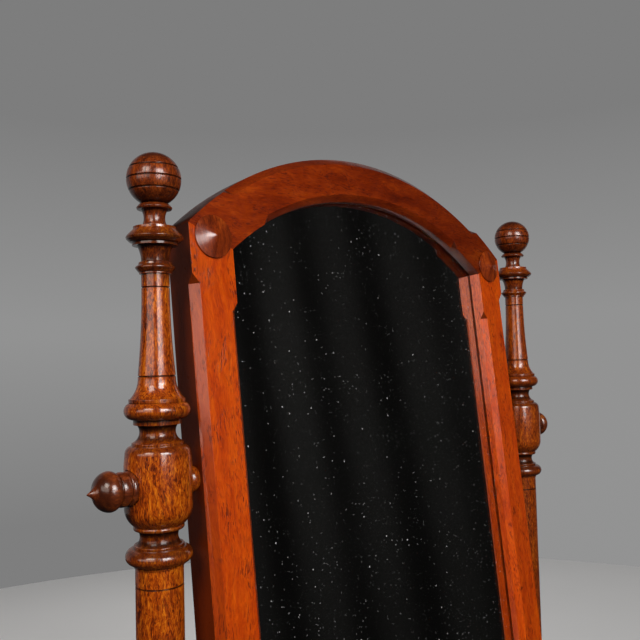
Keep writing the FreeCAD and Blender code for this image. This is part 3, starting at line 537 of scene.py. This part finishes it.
def arch_stain_and_shade(shader):
    """The stain of the arch, with painted shade on the ends of its chamfers, where they turn away from its
    radius.
    """
    facing = in_face_plane(shader, shader.add("TexCoord").outputs["Normal"])
    turn = shader.vector("CROSS_PRODUCT", from_pivot(shader), facing)[0]
    turn = shader.vector("LENGTH", turn)["Value"]
    return shader.calc("MAXIMUM", edge_stain(shader, 0.4), shader.span(turn, 0.3, 0.4, 0.0, STOP_SHADE))


def darker_top(shader):
    """Darker on the post above its column."""
    return shader.span(shader.along(2), 1.249, 1.266, 0.0, 0.5)


def painted_shade_right(shader):
    """Painted shade: the arch darker towards its right-hand end, away from the left light."""
    return shader.span(shader.along(0), -0.22, 0.22, 0.0, 0.42)


# each wood runs from its darkest figure to its lightest
WALNUT = ((0.10, tint(72, 23, 4)), (0.34, tint(136, 50, 6)), (0.58, tint(184, 82, 9)),
          (0.86, tint(222, 122, 20)))
DEEP_WALNUT = ((0.10, tint(50, 17, 6)), (0.36, tint(96, 36, 9)), (0.60, tint(134, 56, 14)),
               (0.88, tint(168, 80, 22)))
MID_WALNUT = [(place, tuple((a + b) / 2 for a, b in zip(light, dark)))
              for (place, light), (_, dark) in zip(WALNUT, DEEP_WALNUT)]
KNOB = ((0.15, tint(64, 25, 11)), (0.45, tint(104, 45, 19)), (0.65, tint(138, 65, 25)),
        (0.85, tint(172, 94, 36)))
MAHOGANY = ((0.15, tint(150, 44, 3)), (0.42, tint(192, 66, 4)), (0.62, tint(210, 82, 5)),
            (0.85, tint(226, 102, 10)))
ARCH = ((0.15, tint(88, 22, 2)), (0.42, tint(124, 37, 2)), (0.62, tint(146, 50, 4)),
        (0.85, tint(168, 68, 8)))
ROUNDEL = ((0.15, tint(86, 26, 6)), (0.45, tint(124, 44, 10)), (0.65, tint(148, 57, 13)),
           (0.85, tint(172, 78, 20)))

walnut_grain = {"mottle": 85, "pore_scale": 640, "pore_length": 0.16}
mahogany_grain = {"fleck": 0.3, "pore_scale": 700, "pore_length": 0.18, "banding": 0.7}

post_wood = polished_wood("post_walnut_polish", WALNUT, "z", figure=0.40, fleck=0.95, coat_rough=0.13,
                          banding=0.7, pore_cut=0.585, ripple=0.06, shade=darker_top,
                          shade_tint=(44, 18, 8), **walnut_grain)
# halfway between the walnut and the deep walnut: on the right post it paints shade, on the bosses it is their
# tone
mid_wood = polished_wood("mid_walnut_polish", MID_WALNUT, "z", start=(0.1, 0.7, 0.3), figure=0.30,
                         fleck=0.8, coat_rough=0.14, banding=0.6, pore_cut=0.58, ripple=0.06,
                         **walnut_grain)
deep_wood = polished_wood("deep_walnut_polish", DEEP_WALNUT, "z", start=(0.4, 0.2, 0.6), figure=0.30,
                          fleck=0.8, pores=0.7, gloss=0.75, coat_rough=0.19, banding=0.6, pore_cut=0.58,
                          **walnut_grain)
rail_wood = polished_wood("stretcher_walnut_polish", WALNUT, "x", start=(0.3, 0.1, 0.2), figure=0.40,
                          fleck=1.25, pores=0.85, coat_rough=0.16, banding=0.7, pore_cut=0.565,
                          **walnut_grain)
foot_wood = polished_wood("foot_walnut_polish", WALNUT, "z", start=(0.7, 0.4, 0.2), figure=0.45,
                          fleck=1.1, pores=0.8, streak=60, coat_rough=0.18, banding=0.8, pore_cut=0.58,
                          **{**walnut_grain, "mottle": 60})
knob_wood = polished_wood("knob_walnut_polish", KNOB, "x", figure=0.6, fleck=0.4, streak=80, mottle=70,
                          coat_rough=0.18)
stile_wood = polished_wood("stile_mahogany_polish", MAHOGANY, "z", tilt=TILT, figure=0.22, pores=0.8,
                           streak=110, mottle=38, pore_tint=(88, 20, 3), coat_rough=0.15,
                           stain_and_shade=stile_stain_and_shade, pore_cut=0.55, **mahogany_grain)
# a darker tint for the arch, for the painted shade at the ends of its chamfers as well as its stain
arch_wood = polished_wood("arch_mahogany_polish", ARCH, "x", start=(0.2, 0.5, 0.1), figure=0.40,
                          streak=60, mottle=30, pore_tint=(60, 12, 2), coat_rough=0.15,
                          stain_and_shade=arch_stain_and_shade, pore_cut=0.57, shade=painted_shade_right, stain_and_shade_tint=(56, 20, 6),
                          **mahogany_grain)
rail_mahogany = polished_wood("rail_mahogany_polish", MAHOGANY, "x", start=(0.6, 0.2, 0.8), figure=0.35,
                              fleck=0.2, pores=0.5, streak=130, mottle=38, pore_tint=(112, 26, 4),
                              coat_rough=0.15, stain_and_shade=arch_stain_and_shade)
roundel_wood = polished_wood("roundel_mahogany_polish", ROUNDEL, "z", tilt=TILT, start=(0.1, 0.9, 0.3),
                             fleck=0.4, streak=110, mottle=60, coat_rough=0.16)


def bare_wood(name, stops, axis, tilt=0.0, joints=None):
    """Unpolished, aged wood, with dark joints between boards of the given width in metres."""
    s = Shader(name)
    at = grain_space(s, axis, tilt)
    bands = s.noise(stretched(s, at, 0.04), 60, 6.0, 0.65, 0.3)
    fine = s.noise(stretched(s, at, 0.03), 700, 3.0)
    age = s.noise(at, 9, 5.0)
    tone = s.calc("MULTIPLY_ADD", s.calc("SUBTRACT", fine, 0.5), 0.5, bands)
    colour = s.blend(s.span(age, 0.45, 0.75, 0.0, 0.5), s.ramp(tone, *stops), (70, 50, 34))
    height = s.calc("MULTIPLY", fine, 0.6)
    if joints:
        across = s.add("SeparateXYZ", {0: at}).outputs[0]
        shifted = s.calc("ADD", across, 4.5 * joints)      # positive everywhere, with a joint in the middle
        place = s.calc("FRACT", s.calc("DIVIDE", shifted, joints))
        line = s.span(s.calc("ABSOLUTE", s.calc("SUBTRACT", place, 0.5)), 0.0, 0.006, 1.0, 0.0)
        colour = s.blend(line, colour, (20, 14, 10))
        height = s.calc("SUBTRACT", height, s.calc("MULTIPLY", line, 4.0))
    bump = s.add("Bump", {"Strength": 0.4, "Distance": 0.0003, "Height": height}).outputs[0]
    surface = s.add("BsdfPrincipled", {
        "Base Color": colour, "Roughness": s.span(fine, 0.3, 0.7, 0.75, 0.9),
        "Specular IOR Level": 0.25, "Normal": bump})
    return s.done(surface.outputs[0])


PINE = ((0.2, tint(112, 80, 48)), (0.5, tint(146, 108, 66)), (0.8, tint(172, 134, 88)))
BEECH = ((0.2, tint(150, 108, 66)), (0.5, tint(178, 134, 88)), (0.8, tint(198, 158, 112)))
board_wood = bare_wood("aged_pine", PINE, "z", TILT, joints=0.170)
block_wood = bare_wood("pine_block", PINE, "z", TILT)
dowel_wood = bare_wood("beech_dowel", BEECH, "y")


def worn_metal(name, bright, dull, rough):
    """Old metal with tarnish in patches and fine scratches."""
    s = Shader(name)
    at = s.place()
    patch = s.noise(at, 260, 5.0, 0.65)
    scratch = s.noise(stretched(s, at, 0.05), 2400, 2.0)
    colour = s.mix(s.span(patch, 0.4, 0.68), (*bright, 1), (*dull, 1))
    roughness = s.calc("MULTIPLY_ADD", scratch, 0.25, s.span(patch, 0.3, 0.7, rough - 0.1, rough + 0.2))
    bump = s.add("Bump", {"Strength": 0.2, "Distance": 0.0001, "Height": scratch}).outputs[0]
    surface = s.add("BsdfPrincipled", {
        "Base Color": colour, "Metallic": 1.0, "Roughness": roughness, "Normal": bump})
    return s.done(surface.outputs[0])


brass = worn_metal("tarnished_brass", tint(206, 168, 96), tint(112, 78, 36), 0.3)
steel = worn_metal("old_steel", tint(150, 146, 140), tint(74, 62, 52), 0.4)


# cells of dust to the metre, the largest speck as a share of its cell, the share of cells left clean
DUST = ((150, 0.13, 0.74), (75, 0.09, 0.72), (330, 0.20, 0.86))


def dusty_glass(name):
    """Clear plate glass with fine pale specks of dust on its outside."""
    s = Shader(name)
    flat = s.add("Mapping", {"Vector": s.place(), "Rotation": (TILT, 0, 0), "Scale": (1, 0.02, 1)}).outputs[0]
    specks = 0.0
    for scale, size, clean in DUST:
        dots = s.add("TexVoronoi", {"Vector": flat, "Scale": scale}, feature="F1")
        chance = s.add("SeparateColor", {0: dots.outputs["Color"]}).outputs
        spread = s.noise(flat, 7, 3.0, 0.6)
        limit = s.calc("MULTIPLY_ADD", s.calc("SUBTRACT", 0.5, spread), 0.45, clean)
        near = s.span(dots.outputs["Distance"], size * 0.45, size, 1.0, 0.0)
        near = s.calc("MULTIPLY", near, s.span(chance[1], 0.0, 1.0, 0.15, 1.0))
        near = s.calc("MULTIPLY", near, s.calc("GREATER_THAN", chance[0], limit))
        specks = s.calc("MAXIMUM", specks, near)
    outward = s.calc("SUBTRACT", 1.0, s.add("NewGeometry").outputs["Backfacing"])
    specks = s.calc("MULTIPLY", specks, outward)
    film = s.calc("MULTIPLY", s.span(s.noise(flat, 5, 4.0, 0.6), 0.4, 0.8), 0.002)
    clear = s.add("BsdfPrincipled", {
        "Base Color": (1, 1, 1, 1), "Roughness": 0.0, "IOR": 1.52, "Transmission Weight": 1.0})
    dust = s.add("BsdfPrincipled", {
        "Base Color": (*tint(206, 208, 210), 1), "Roughness": 0.9, "Specular IOR Level": 0.1})
    cover = s.calc("MAXIMUM", specks, film)
    return s.done(s.add("MixShader", {0: cover, 1: clear.outputs[0], 2: dust.outputs[0]}).outputs[0])


def old_silvering(name):
    """Silver behind the glass, with foxing in patches."""
    s = Shader(name)
    at = s.place()
    spots = s.noise(at, 240, 5.0, 0.7, 0.4)
    cloud = s.noise(at, 11, 4.0)
    fox = s.calc("MULTIPLY", s.span(spots, 0.66, 0.74), s.span(cloud, 0.5, 0.68))
    surface = s.add("BsdfPrincipled", {
        "Base Color": s.blend(s.calc("MULTIPLY", fox, 0.5), (0.80, 0.82, 0.80, 1), (74, 64, 52)),
        "Metallic": 1.0, "Roughness": s.span(fox, 0.0, 1.0, 0.015, 0.35)})
    return s.done(surface.outputs[0])


glass_front = dusty_glass("dusty_plate_glass")
silver = old_silvering("old_silvering")

# ---------------------------------------------------------------- posts

# in millimetres: up from the pivot, radius, rise of the arc to the next row
POST = (
    (262, 21.7, 0), (259.5, 21.9, 0), (253, 28.3, 0), (251.1, 29.4, 0), (248.9, 28.6, 0), (246, 25.4, 0),
    (245.5, 23, 0), (242.5, 23, 0), (242.5, 18, -0.9), (226.5, 14, 0), (225.5, 16.5, 0), (222.8, 17.3, 0),
    (220.6, 20.2, 0), (219.4, 20.2, 0), (215.3, 17, 0), (215.3, 16.3, 0), (213.3, 16.3, 0),
    (213.3, 14.4, 0), (199.6, 14.3, -1.1),
    (109.3, 19, -2.3), (86.5, 27.4, 0), (86.5, 28.6, 0), (83, 28.6, 0), (83, 27.5, 6), (66, 27.5, 0),
    (66, 24.3, 0), (60.5, 24.3, 0), (60.5, 20.8, -4.3), (43, 24.6, 0), (42.3, 26.2, 0), (39.5, 26.2, 0),
    (39.5, 27.2, 1.7), (31.5, 33.1, 0), (20, 34.2, 0), (-24, 34.2, 1.9), (-40, 25.2, 0), (-40, 24.4, 1.2),
    (-44.5, 24.4, 0), (-44.5, 21.4, -2.8), (-59.3, 22.6, 0), (-59.3, 25, 0), (-62.4, 25, 0), (-62.4, 27, 6.7),
    (-78, 27, 0), (-78, 25.3, 0), (-81, 25.3, 0), (-81, 24.1, 0), (-99.6, 24.1, 0), (-560, 24.1, 0),
    (-572, 24.1, 0), (-572, 25.8, 0), (-575, 25.8, 0), (-575, 27.2, 6.7), (-591, 27.2, 0), (-591, 25, 0),
    (-594.5, 25, 0), (-594.5, 22, -4), (-612, 24.5, 0), (-612, 27, 0), (-615.5, 27, 0), (-615.5, 27.6, 3),
    (-641, 33, 0), (-716, 26.4, 0), (-716, 24.4, 0), (-719, 24.4, -2.6), (-734, 28.2, 0), (-734, 30, 2.3),
    (-746, 30, 0), (-750, 30, 0))
POST_SCORES = (199.6, 109.3, -99.6, -560)
BLOCK_LOW, BLOCK_HIGH = 0.160, 0.300
BLOCK_HALF = 33 * MM
BLOCK_CORNER = 28 * MM
SEATS = ((1, 18 * MM, 30.5 * MM), (-1, 15 * MM, 32 * MM))      # side, radius, distance from the axis
SEAT_END = 60 * MM


def build_post(side, way):
    """A turned post with flats cut for the clamp and the frame, and the square block at its foot."""
    place = place_at(way * POST_X, PIVOT)
    outline = closed(soften(profile(POST, POST_SCORES), 0.4 * MM))
    built = bmesh.new()
    revolve(built, outline, place)
    mesh = finish_mesh(side + "_turned_post", built)
    # the right post takes a darker copy of the walnut: painted shade
    wood = post_wood if way < 0 else mid_wood
    post = new_piece(side + "_turned_post", mesh, "stand", [side + "_post"], "post_walnut", wood)
    centre = Vector((way * POST_X, 0, PIVOT))
    carve(post, [rod_mesh("seat", radius, centre + Vector((way * towards * depth, 0, 0)),
                          centre + Vector((way * towards * SEAT_END, 0, 0)))
                 for towards, radius, depth in SEATS])
    mark_recess(post.data, place, outline, scores=POST_SCORES)
    shade_by_angle(post.data, 28)

    built = bmesh.new()
    a, b = BLOCK_HALF, BLOCK_CORNER
    ring = ((a, b), (b, a), (-b, a), (-a, b), (-a, -b), (-b, -a), (b, -a), (a, -b))
    slab(built, [Vector(corner) for corner in ring], BLOCK_LOW, BLOCK_HIGH, place_at(way * POST_X, 0),
         1.2 * MM, least=20)
    mesh = finish_mesh(side + "_post_block", built)
    new_piece(side + "_post_block", mesh, "stand", [], "post_walnut", wood)
    shade_by_angle(mesh, 35)


NECK = ((262, 13.2, 0), (264.2, 12.4, -2.1), (280, 13.6, 0), (280.2, 17.6, 0), (282.2, 18.3, 0),
        (285.6, 15.4, 0), (286, 11.34, 0))
BALL_LEVEL, BALL, BALL_FOOT = 311.6, 28, 11.34
BALL_SCORES = (-11.8, 0, 11.8)
BALL_SCORE_SHAPE = ((-1.2, 0), (-0.95, 0.05), (-0.75, 0.95), (0.75, 0.95), (0.95, 0.05), (1.2, 0))
BALL_STEPS = 64


def ball_outline():
    """The ball above its neck, with its three scored lines, in metres up from the pivot."""
    rows = []
    angle = -math.acos(BALL_FOOT / BALL)
    for step in range(BALL_STEPS + 1):
        here = angle + (math.pi / 2 - angle) * step / BALL_STEPS
        height = BALL * math.sin(here)
        if min(abs(height - score) for score in BALL_SCORES) > 1.3:
            rows.append((height, BALL * math.cos(here)))
    for score in BALL_SCORES:
        for offset, depth in BALL_SCORE_SHAPE:
            height = score + offset
            rows.append((height, math.sqrt(BALL ** 2 - height ** 2) - depth))
    rows.sort()
    return [Vector((max(0.0, radius), BALL_LEVEL + height)) * MM for height, radius in rows]


PENDANT = ((160, 28, 1.4), (154, 28, 0), (154, 24.5, -4.6), (138, 13.5, 0), (138, 16, 0), (135, 16, 0),
           (135, 12, 11.2), (102, 9, 0), (102, 6.5, 2.4), (94.5, 0, 0))
for side, way in SIDES:
    build_post(side, way)
    outline = soften(profile(NECK), 0.4 * MM) + ball_outline()
    built = bmesh.new()
    place = place_at(way * POST_X, PIVOT)
    revolve(built, closed(outline), place)
    mesh = finish_mesh(side + "_scored_finial", built)
    mark_recess(mesh, place, outline, 6 * MM, [BALL_LEVEL + score for score in BALL_SCORES])
    new_piece(side + "_scored_finial", mesh, "stand", [side + "_ball_finial"], "post_walnut", deep_wood)
    turned(side + "_turned_pendant", "stand", [side + "_pendant"], "post_walnut", post_wood,
           profile(PENDANT), place_at(way * POST_X, 0))

# ---------------------------------------------------------------- stretcher and feet

STRETCHER = ((0, 27, 2.9), (21, 16, 0), (21, 20.5, 0), (25, 20.5, 0), (25, 18, 0), (256, 14.5, 0),
             (256, 18.5, 0), (259.5, 18.5, 0), (259.5, 18, 6.2), (274.5, 18, 0), (274.5, 16.5, 0),
             (278, 16.5, -2.6), (294, 20, 0), (294, 22, 1.6), (303, 22, 0), (307, 22, 0))
STRETCHER_LEVEL = 0.232
half = profile(STRETCHER)
whole = [Vector((p.x, -p.y)) for p in reversed(half[1:])] + half
turned("turned_stretcher", "stand", ["stretcher"], "post_walnut", rail_wood, whole,
       place_at(0, STRETCHER_LEVEL, (1, 0, 0)))

# in millimetres: out from the post's axis, level, rise of the arc to the next row
FOOT = ((33, 172, -9), (128, 112, 13), (214, 0, 0), (268, 0, -7), (270, 28, -3), (246, 35, 17),
        (150, 166, -17), (33, 286, 0))
FOOT_HALF = 19 * MM


def foot_outline():
    """The side view of a swept foot, in metres."""
    points = []
    for index, (out, high, rise) in enumerate(FOOT):
        here = Vector((out, high)) * MM
        after = Vector(FOOT[(index + 1) % len(FOOT)][:2]) * MM
        points.append(here)
        if rise:
            points += bow(here, after, rise * MM, 18)[:-1]
    return points


# takes a side view (out, up) and its thickness to (y, z) and x
SIDE_ON = Matrix(((0, 0, 1, 0), (1, 0, 0, 0), (0, 1, 0, 0), (0, 0, 0, 1)))
for side, way in SIDES:
    for end, lean in (("front", -1), ("back", 1)):
        name = "%s_%s_swept_foot" % (side, end)
        built = bmesh.new()
        outline = [Vector((p.x * lean, p.y)) for p in foot_outline()]
        slab(built, outline, -FOOT_HALF, FOOT_HALF, place_at(way * POST_X, 0) @ SIDE_ON, 3.5 * MM, 4)
        mesh = finish_mesh(name, built)
        new_piece(name, mesh, "stand", ["%s_%s_foot" % (side, end)], "post_walnut", foot_wood)
        shade_by_angle(mesh, 24)

# ---------------------------------------------------------------- clamps

KNOB_ROWS = ((0, 15.6, 0), (0.6, 16.2, 1), (9.4, 16.2, 0), (9.8, 15.2, 0), (10.8, 15.2, 0), (11.2, 17, 0.8),
             (18.3, 19.8, 2.9), (31.8, 8, -0.8), (40.1, 0.7, 0))
COLLAR_ROWS = ((0, 15.2, 0), (0.3, 16.1, 1.2), (6.0, 16.1, 0), (6.3, 15.4, 0))
BOSS_ROWS = ((0, 12.6, 1.7), (10.55, 12.6, 0))
KNOB_X, COLLAR_X, BOSS_X = POST_X + 0.0372, POST_X + 0.0307, 0.29725
for side, way in SIDES:
    for name, body, replaced, wood, rows, x in (
            ("_turned_knob", side + "_knob", "_clamp_knob", knob_wood, KNOB_ROWS, KNOB_X),
            ("_loose_collar", side + "_collar", "_clamp_collar", knob_wood, COLLAR_ROWS, COLLAR_X),
            ("_domed_boss", "mirror_frame", "_boss", mid_wood, BOSS_ROWS, BOSS_X)):
        turned(side + name, body, [side + replaced], "knob_walnut", wood, profile(rows),
               place_at(way * x, PIVOT, (way, 0, 0)), 0.35)

# ---------------------------------------------------------------- swinging frame

HUNG = Matrix.Translation((0, 0, PIVOT)) @ Matrix.Rotation(-TILT, 4, "X")
FRAME_FRONT = 25.7 * MM
ROUNDEL_ROWS = ((0, 22.6, 0), (1.0, 22.6, 0), (1.0, 24.0, 0.15), (2.2, 24.2, -0.5), (8.6, 0.25, 0))
ROUNDEL_X = 0.2665
ROUNDEL_LEVELS = (("upper", 0.258), ("lower", -0.716))      # from the pivot


def roundel(name, x, level, replaced):
    """A shallow turned cone on the frame's face, its rim undercut by a thin neck."""
    seat = HUNG @ Matrix.Translation((x, -FRAME_FRONT, level)) @ turn_to((0, -1, 0))
    turned(name, "mirror_frame", [replaced], "frame_mahogany", roundel_wood, profile(ROUNDEL_ROWS),
           seat, 0.3, 128, 80 * MM)


for side, way in SIDES:
    for end, level in ROUNDEL_LEVELS:
        roundel("%s_%s_cone" % (end, side), way * ROUNDEL_X, level, "%s_%s_roundel" % (end, side))


def carried(name, material, soft):
    """Gives a CAD node its finish, and eases its arrises by `soft` millimetres where asked."""
    node = nodes[name]
    node.data.materials.clear()
    node.data.materials.append(material)
    if soft:
        weld = node.modifiers.new("weld", "WELD")
        weld.merge_threshold = 1e-6
        ease = node.modifiers.new("ease", "BEVEL")
        ease.width = soft * MM
        ease.segments = 2
        ease.limit_method = "ANGLE"
        ease.angle_limit = math.radians(25)
        ease.harden_normals = True
        ease.use_clamp_overlap = True


for name, material, soft in (
        ("left_stile", stile_wood, 0.5), ("right_stile", stile_wood, 0.5),
        ("arched_top_rail", arch_wood, 0.5), ("bottom_rail", rail_mahogany, 0.5),
        ("backboard", board_wood, 0.4), ("glass_blocks", block_wood, 0.3),
        ("arch_dowels", dowel_wood, 0), ("foot_dowels", dowel_wood, 0), ("backboard_screws", steel, 0.15),
        ("left_pivot_bush", brass, 0), ("right_pivot_bush", brass, 0),
        ("left_threaded_socket", brass, 0.2), ("right_threaded_socket", brass, 0.2),
        ("left_pivot_bolt", steel, 0), ("right_pivot_bolt", steel, 0)):
    carried(name, material, soft)

# ---------------------------------------------------------------- glass

GLASS_HALF = 249.75 * MM
GLASS_FRONT = -8.4 * MM
GLASS_THICK = 5 * MM
GLASS_LOW = -688.7 * MM
ARCH_CENTRE = -52.6 * MM
GLASS_RADIUS = 391.9 * MM
ARCH_STEPS = 64


def glass_outline():
    """The front view of the plate: square below, a single arc above."""
    corner = math.asin(GLASS_HALF / GLASS_RADIUS)
    points = [Vector((-GLASS_HALF, GLASS_LOW)), Vector((GLASS_HALF, GLASS_LOW))]
    for step in range(ARCH_STEPS + 1):
        angle = corner - 2 * corner * step / ARCH_STEPS
        high = ARCH_CENTRE + GLASS_RADIUS * math.cos(angle)
        points.append(Vector((GLASS_RADIUS * math.sin(angle), high)))
    return points


def build_glass():
    """The plate, clear on its face and edges and silvered on its back."""
    built = bmesh.new()
    near, far = ([built.verts.new(HUNG @ Vector((p.x, depth, p.y))) for p in glass_outline()]
                 for depth in (GLASS_FRONT, GLASS_FRONT + GLASS_THICK))
    faces = [built.faces.new(near), built.faces.new(far[::-1])]
    count = len(near)
    for index in range(count):
        after = (index + 1) % count
        faces.append(built.faces.new([near[index], far[index], far[after], near[after]]))
    bmesh.ops.recalc_face_normals(built, faces=faces)
    faces[1].material_index = 1
    mesh = finish_mesh("silvered_plate", built, smooth=False)
    new_piece("silvered_plate", mesh, "mirror_frame", ["mirror_glass"], "silvered_glass",
              glass_front, silver)


build_glass()

# ---------------------------------------------------------------- studio

def grey(name, level, rough=0.9, glow_level=0.0):
    """A grey surface, a little uneven, with a glow of its own if asked."""
    s = Shader(name)
    tone = s.span(s.noise(s.place(), 1.2, 2.0), 0.3, 0.7, level * 0.97, level * 1.03)
    colour = s.add("CombineColor", {0: tone, 1: tone, 2: tone}).outputs[0]
    return s.done(s.add("BsdfPrincipled", {
        "Base Color": colour, "Roughness": rough, "Specular IOR Level": 0.2,
        "Emission Color": (1, 1, 1, 1), "Emission Strength": glow_level}).outputs[0])


PAPER_REACH = 4.0                       # the height the light levels are given over
TO_CORNER = (0.722, -0.692, 0)          # across the paper, away from its darker lower corner


def glow(name, *levels):
    """A plain paper backdrop, its light given as (height, level) and less in its lower corner."""
    s = Shader(name)
    height = s.along(2)
    stops = [(place / PAPER_REACH, (light,) * 3) for place, light in levels]
    tone = s.ramp(s.calc("DIVIDE", height, PAPER_REACH), *stops)
    across = s.vector("DOT_PRODUCT", s.place(), TO_CORNER)["Value"]
    corner = s.calc("MULTIPLY", s.span(across, 0.3, -1.0), s.span(height, 1.3, 0.3))
    fade = s.span(corner, 0.0, 1.0, 1.0, 0.72)
    return s.done(s.add("Emission", {0: tone, 1: fade}).outputs[0])


def stage_mesh(name, built, material, unseen_by):
    """Adds a mesh to the studio, unseen by the kinds of ray given."""
    mesh = finish_mesh(name, built)
    mesh.materials.append(material)
    piece = bpy.data.objects.new(name, mesh)
    bpy.context.scene.collection.objects.link(piece)
    for rays in unseen_by:
        setattr(piece, "visible_" + rays, False)


def around(radius, degrees):
    """A place on the floor at the given bearing."""
    angle = math.radians(degrees)
    return radius * math.cos(angle), radius * math.sin(angle)


def hanging(name, places, high, material, unseen_by):
    """A sheet that stands on the given places of the floor."""
    built = bmesh.new()
    rungs = [[built.verts.new((*place, level)) for level in (0.0, high)] for place in places]
    for a, b in zip(rungs, rungs[1:]):
        built.faces.new([a[0], b[0], b[1], a[1]])
    stage_mesh(name, built, material, unseen_by)


WALL_RADIUS, WALL_HIGH = 3.4, 4.5
FLOOR_RADIUS, FLOOR_LEVEL = 3.45, -0.0004       # past the wall, and a hair below the feet
CURTAIN_RADIUS, CURTAIN_HIGH = 3.0, 4.2


def wall(name, first, last, unseen_by, steps=48):
    """A part of the round paper wall, between two bearings."""
    places = [around(WALL_RADIUS, first + (last - first) * step / steps) for step in range(steps + 1)]
    hanging(name, places, WALL_HIGH, paper, unseen_by)


def floor_disc(steps=96):
    """The round floor."""
    built = bmesh.new()
    built.faces.new([built.verts.new((*around(FLOOR_RADIUS, 360 * step / steps), FLOOR_LEVEL))
                     for step in range(steps)])
    stage_mesh("floor", built, grey("pale_floor", 0.6, glow_level=0.19), ("diffuse", "glossy"))


def curtain(steps=260):
    """A dark curtain behind the camera, seen only in the looking glass and the polish."""
    places = []
    for step in range(steps + 1):
        along = step / steps
        radius = CURTAIN_RADIUS + 0.025 * math.sin(along * 95) + 0.02 * math.sin(along * 41 + 1.3)
        places.append(around(radius, -100 + 100 * along))
    hanging("dark_curtain", places, CURTAIN_HIGH, grey("curtain_cloth", 0.005, 0.95),
            ("camera", "shadow", "diffuse"))


floor_disc()
paper = glow("backdrop_paper", (0.28, 0.290), (1.38, 0.287), (2.5, 0.205))
wall("backdrop_far", -40, 130, ("shadow", "diffuse"))
wall("backdrop_near", 130, 320, ("glossy", "diffuse", "transmission", "shadow"))
curtain()

SUBJECT = Vector((-0.10, 0.0, 1.20))
LIGHT_DISTANCE = 3.0
WARM = (1.0, 0.88, 0.78)
WHITE = (1.0, 0.975, 0.95)


def soft_box(name, towards, width, height, power, colour, lit=True, shown=True):
    """A rectangular light facing the subject; `lit` by it, and `shown` in the polish, or not."""
    data = bpy.data.lights.new(name, "AREA")
    data.shape = "RECTANGLE"
    data.size, data.size_y = width, height
    data.energy = power
    data.color = colour
    lamp = bpy.data.objects.new(name, data)
    bpy.context.scene.collection.objects.link(lamp)
    towards = Vector(towards).normalized()
    lamp.location = SUBJECT + towards * LIGHT_DISTANCE
    lamp.rotation_mode = "QUATERNION"
    lamp.rotation_quaternion = towards.to_track_quat("Z", "Y")
    lamp.visible_camera = False
    lamp.visible_diffuse = lit
    lamp.visible_glossy = shown


soft_box("left_window", (-0.784, -0.324, 0.526), 1.3, 1.0, 46, WARM)
soft_box("right_window", (-0.170, -0.885, 0.431), 1.3, 1.0, 78, WHITE)
soft_box("left_strip", (-0.953, -0.220, 0.208), 3.0, 1.1, 33, WARM, lit=False)
soft_box("right_strip", (-0.051, -0.986, 0.156), 2.3, 1.3, 82, WHITE, lit=False)
soft_box("rear_fill", (0.45, 0.82, 0.35), 2.0, 1.6, 26, WHITE, shown=False)

world = bpy.data.worlds.new("studio")
bpy.context.scene.world = world
world.use_nodes = True
background = world.node_tree.nodes["Background"]
background.inputs["Color"].default_value = (0.9, 0.95, 1.0, 1)
background.inputs["Strength"].default_value = 0.02

bpy.context.scene.view_settings.view_transform = "Standard"

# ---------------------------------------------------------------- camera

CAMERA_AT = (-0.7426, -0.6634, 1.1783)
HEADING, PITCH, ROLL = -43.757, 2.567, -1.4227      # degrees

eye = bpy.data.cameras.new("camera")
eye.lens = 41.64
eye.sensor_width = 36
eye.clip_start = 0.05
camera = bpy.data.objects.new("camera", eye)
bpy.context.scene.collection.objects.link(camera)
camera.rotation_mode = "QUATERNION"
camera.location = CAMERA_AT
aim = Matrix.Rotation(math.radians(HEADING), 3, "Z") @ Matrix.Rotation(math.radians(90 + PITCH), 3, "X")
camera.rotation_quaternion = (aim @ Matrix.Rotation(math.radians(ROLL), 3, "Z")).to_quaternion()
bpy.context.scene.camera = camera
